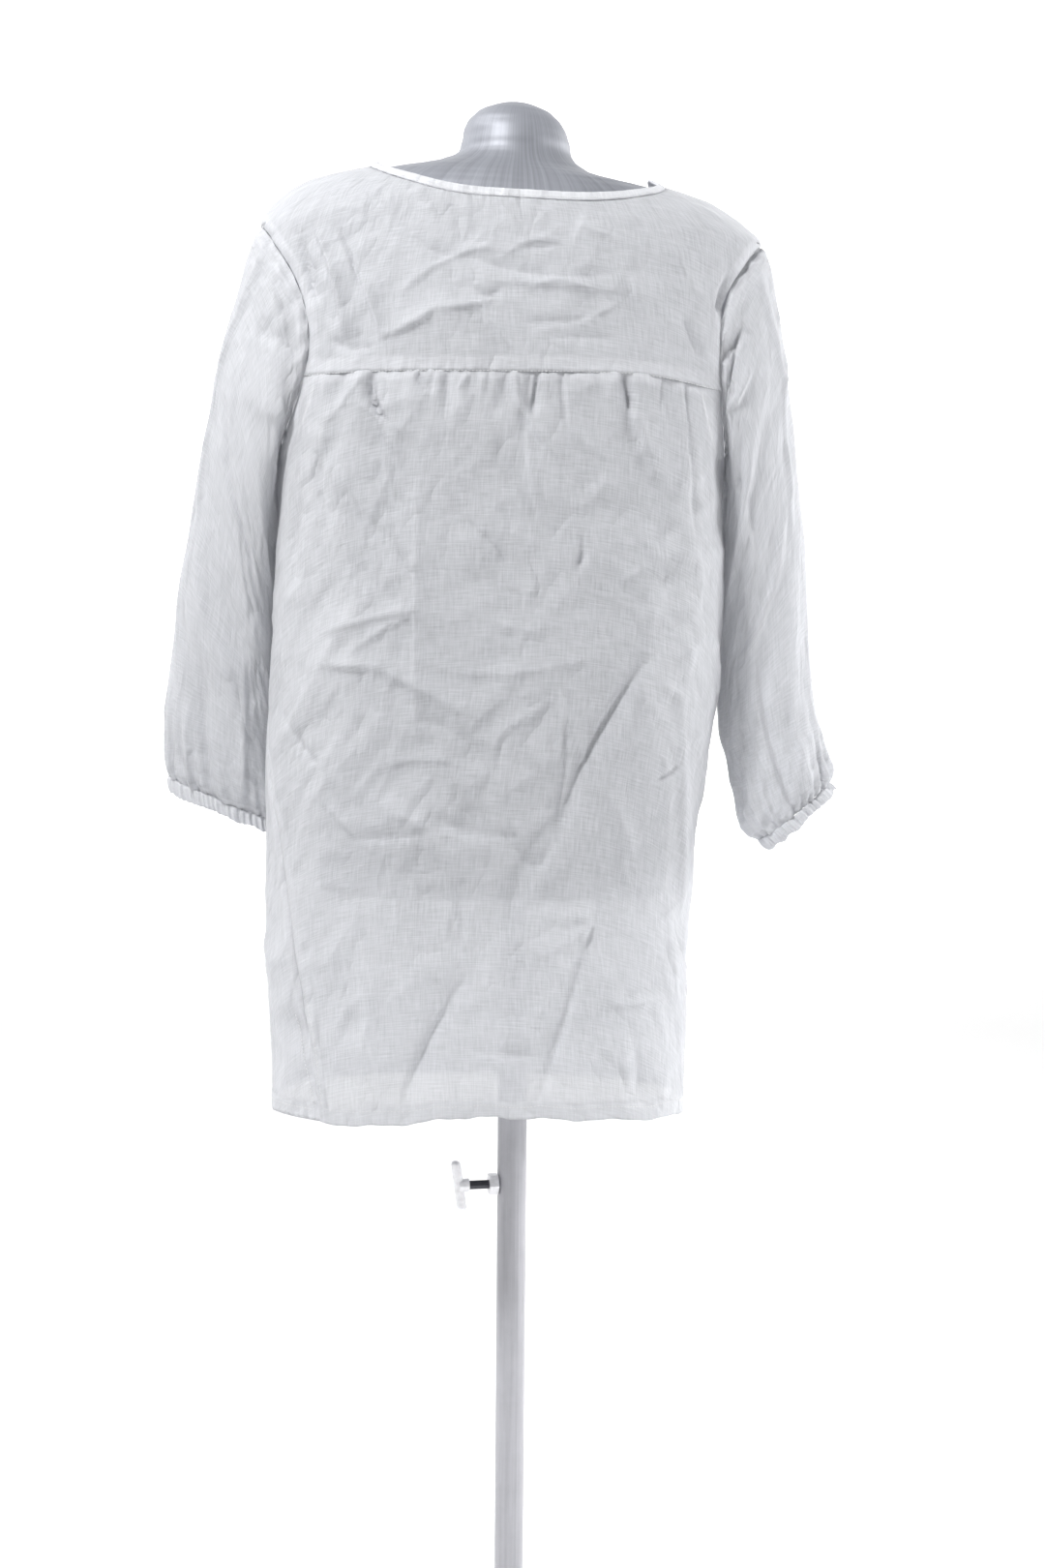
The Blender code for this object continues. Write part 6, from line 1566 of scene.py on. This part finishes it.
class TUNIC_OT_stage(bpy.types.Operator):
    """Set the floor, the soft light and the camera"""
    bl_idname = "tunic.stage"
    bl_label = "Stage"

    def execute(self, context):
        stage = settings().stage
        half, back, colour = stage.floor_size / 2, stage.backdrop_distance, tuple(stage.backdrop)
        quad = [(0, 1, 2, 3)]
        level = [(x, y, FLOOR_LEVEL) for x, y in ((-half, -half), (half, -half), (half, half), (-half, half))]
        floor = plain_mesh("studio_floor", level, quad, smooth=False)
        floor.data.materials.append(backdrop_material("studio_floor", colour, FLOOR_GLOW))
        upright = [(-half, back, WALL_LOW), (half, back, WALL_LOW), (half, back, WALL_HIGH),
                   (-half, back, WALL_HIGH)]
        wall = plain_mesh("studio_backdrop", upright, quad, smooth=False)
        wall.data.materials.append(backdrop_material("studio_backdrop", colour, WALL_GLOW))
        world = bpy.data.worlds.new("studio")
        context.scene.world = world
        world.use_nodes = True
        sky = world.node_tree.nodes["Background"]
        sky.inputs["Color"].default_value = (1.0, 1.0, 1.0, 1.0)
        sky.inputs["Strength"].default_value = stage.sky
        for name, place, size, share in LIGHTS:
            add_area(name, place, size, stage.key_power * share)
        add_camera(context)
        context.scene.view_settings.view_transform = "Standard"
        return {"FINISHED"}


def add_camera(context):
    """Camera at the photograph's view, turned by its yaw, pitch and roll."""
    camera = bpy.data.cameras.new("photo_camera")
    camera.sensor_fit = "AUTO"
    camera.sensor_width = CAMERA_SENSOR
    camera.lens = CAMERA_LENS
    camera.clip_start = 0.05
    item = bpy.data.objects.new("photo_camera", camera)
    context.collection.objects.link(item)
    level = Matrix.Rotation(-CAMERA_YAW, 4, "Z") @ Matrix.Rotation(math.radians(90) - CAMERA_PITCH, 4, "X")
    item.matrix_world = Matrix.Translation(CAMERA_PLACE) @ level @ Matrix.Rotation(CAMERA_ROLL, 4, "Z")
    context.scene.camera = item


class TUNIC_PT_panel(bpy.types.Panel):
    """Sidebar panel with the values and the steps"""
    bl_label = "Linen Tunic"
    bl_idname = "TUNIC_PT_panel"
    bl_space_type = "VIEW_3D"
    bl_region_type = "UI"
    bl_category = "Tunic"

    def draw(self, context):
        layout = self.layout
        values = context.scene.tunic
        for group, title in ((values.cloth, "Cloth"), (values.form, "Form"), (values.stand, "Stand"),
                             (values.stage, "Stage")):
            box = layout.box()
            box.label(text=title)
            for name in group.__annotations__:
                box.prop(group, name)
        for operator in OPERATORS:
            layout.operator(operator.bl_idname)


OPERATORS = (TUNIC_OT_form, TUNIC_OT_body, TUNIC_OT_sleeves, TUNIC_OT_edges, TUNIC_OT_stitching,
             TUNIC_OT_stand, TUNIC_OT_stage)
CLASSES = (TUNIC_PG_cloth, TUNIC_PG_form, TUNIC_PG_stand, TUNIC_PG_stage, TUNIC_PG_settings) + OPERATORS + (
    TUNIC_PT_panel,)


def register():
    """Add the classes and the scene's settings."""
    for item in CLASSES:
        bpy.utils.register_class(item)
    bpy.types.Scene.tunic = PointerProperty(type=TUNIC_PG_settings, name="Tunic",
                                            description="Values of the tunic scene")


def unregister():
    """Take them away again."""
    del bpy.types.Scene.tunic
    for item in reversed(CLASSES):
        bpy.utils.unregister_class(item)


def main():
    """Build every piece, the stand's finish and the stage."""
    register()
    bpy.ops.tunic.form()
    bpy.ops.tunic.body()
    bpy.ops.tunic.sleeves()
    bpy.ops.tunic.edges()
    bpy.ops.tunic.stitching()
    bpy.ops.tunic.stand()
    bpy.ops.tunic.stage()


if __name__ == "__main__":
    main()
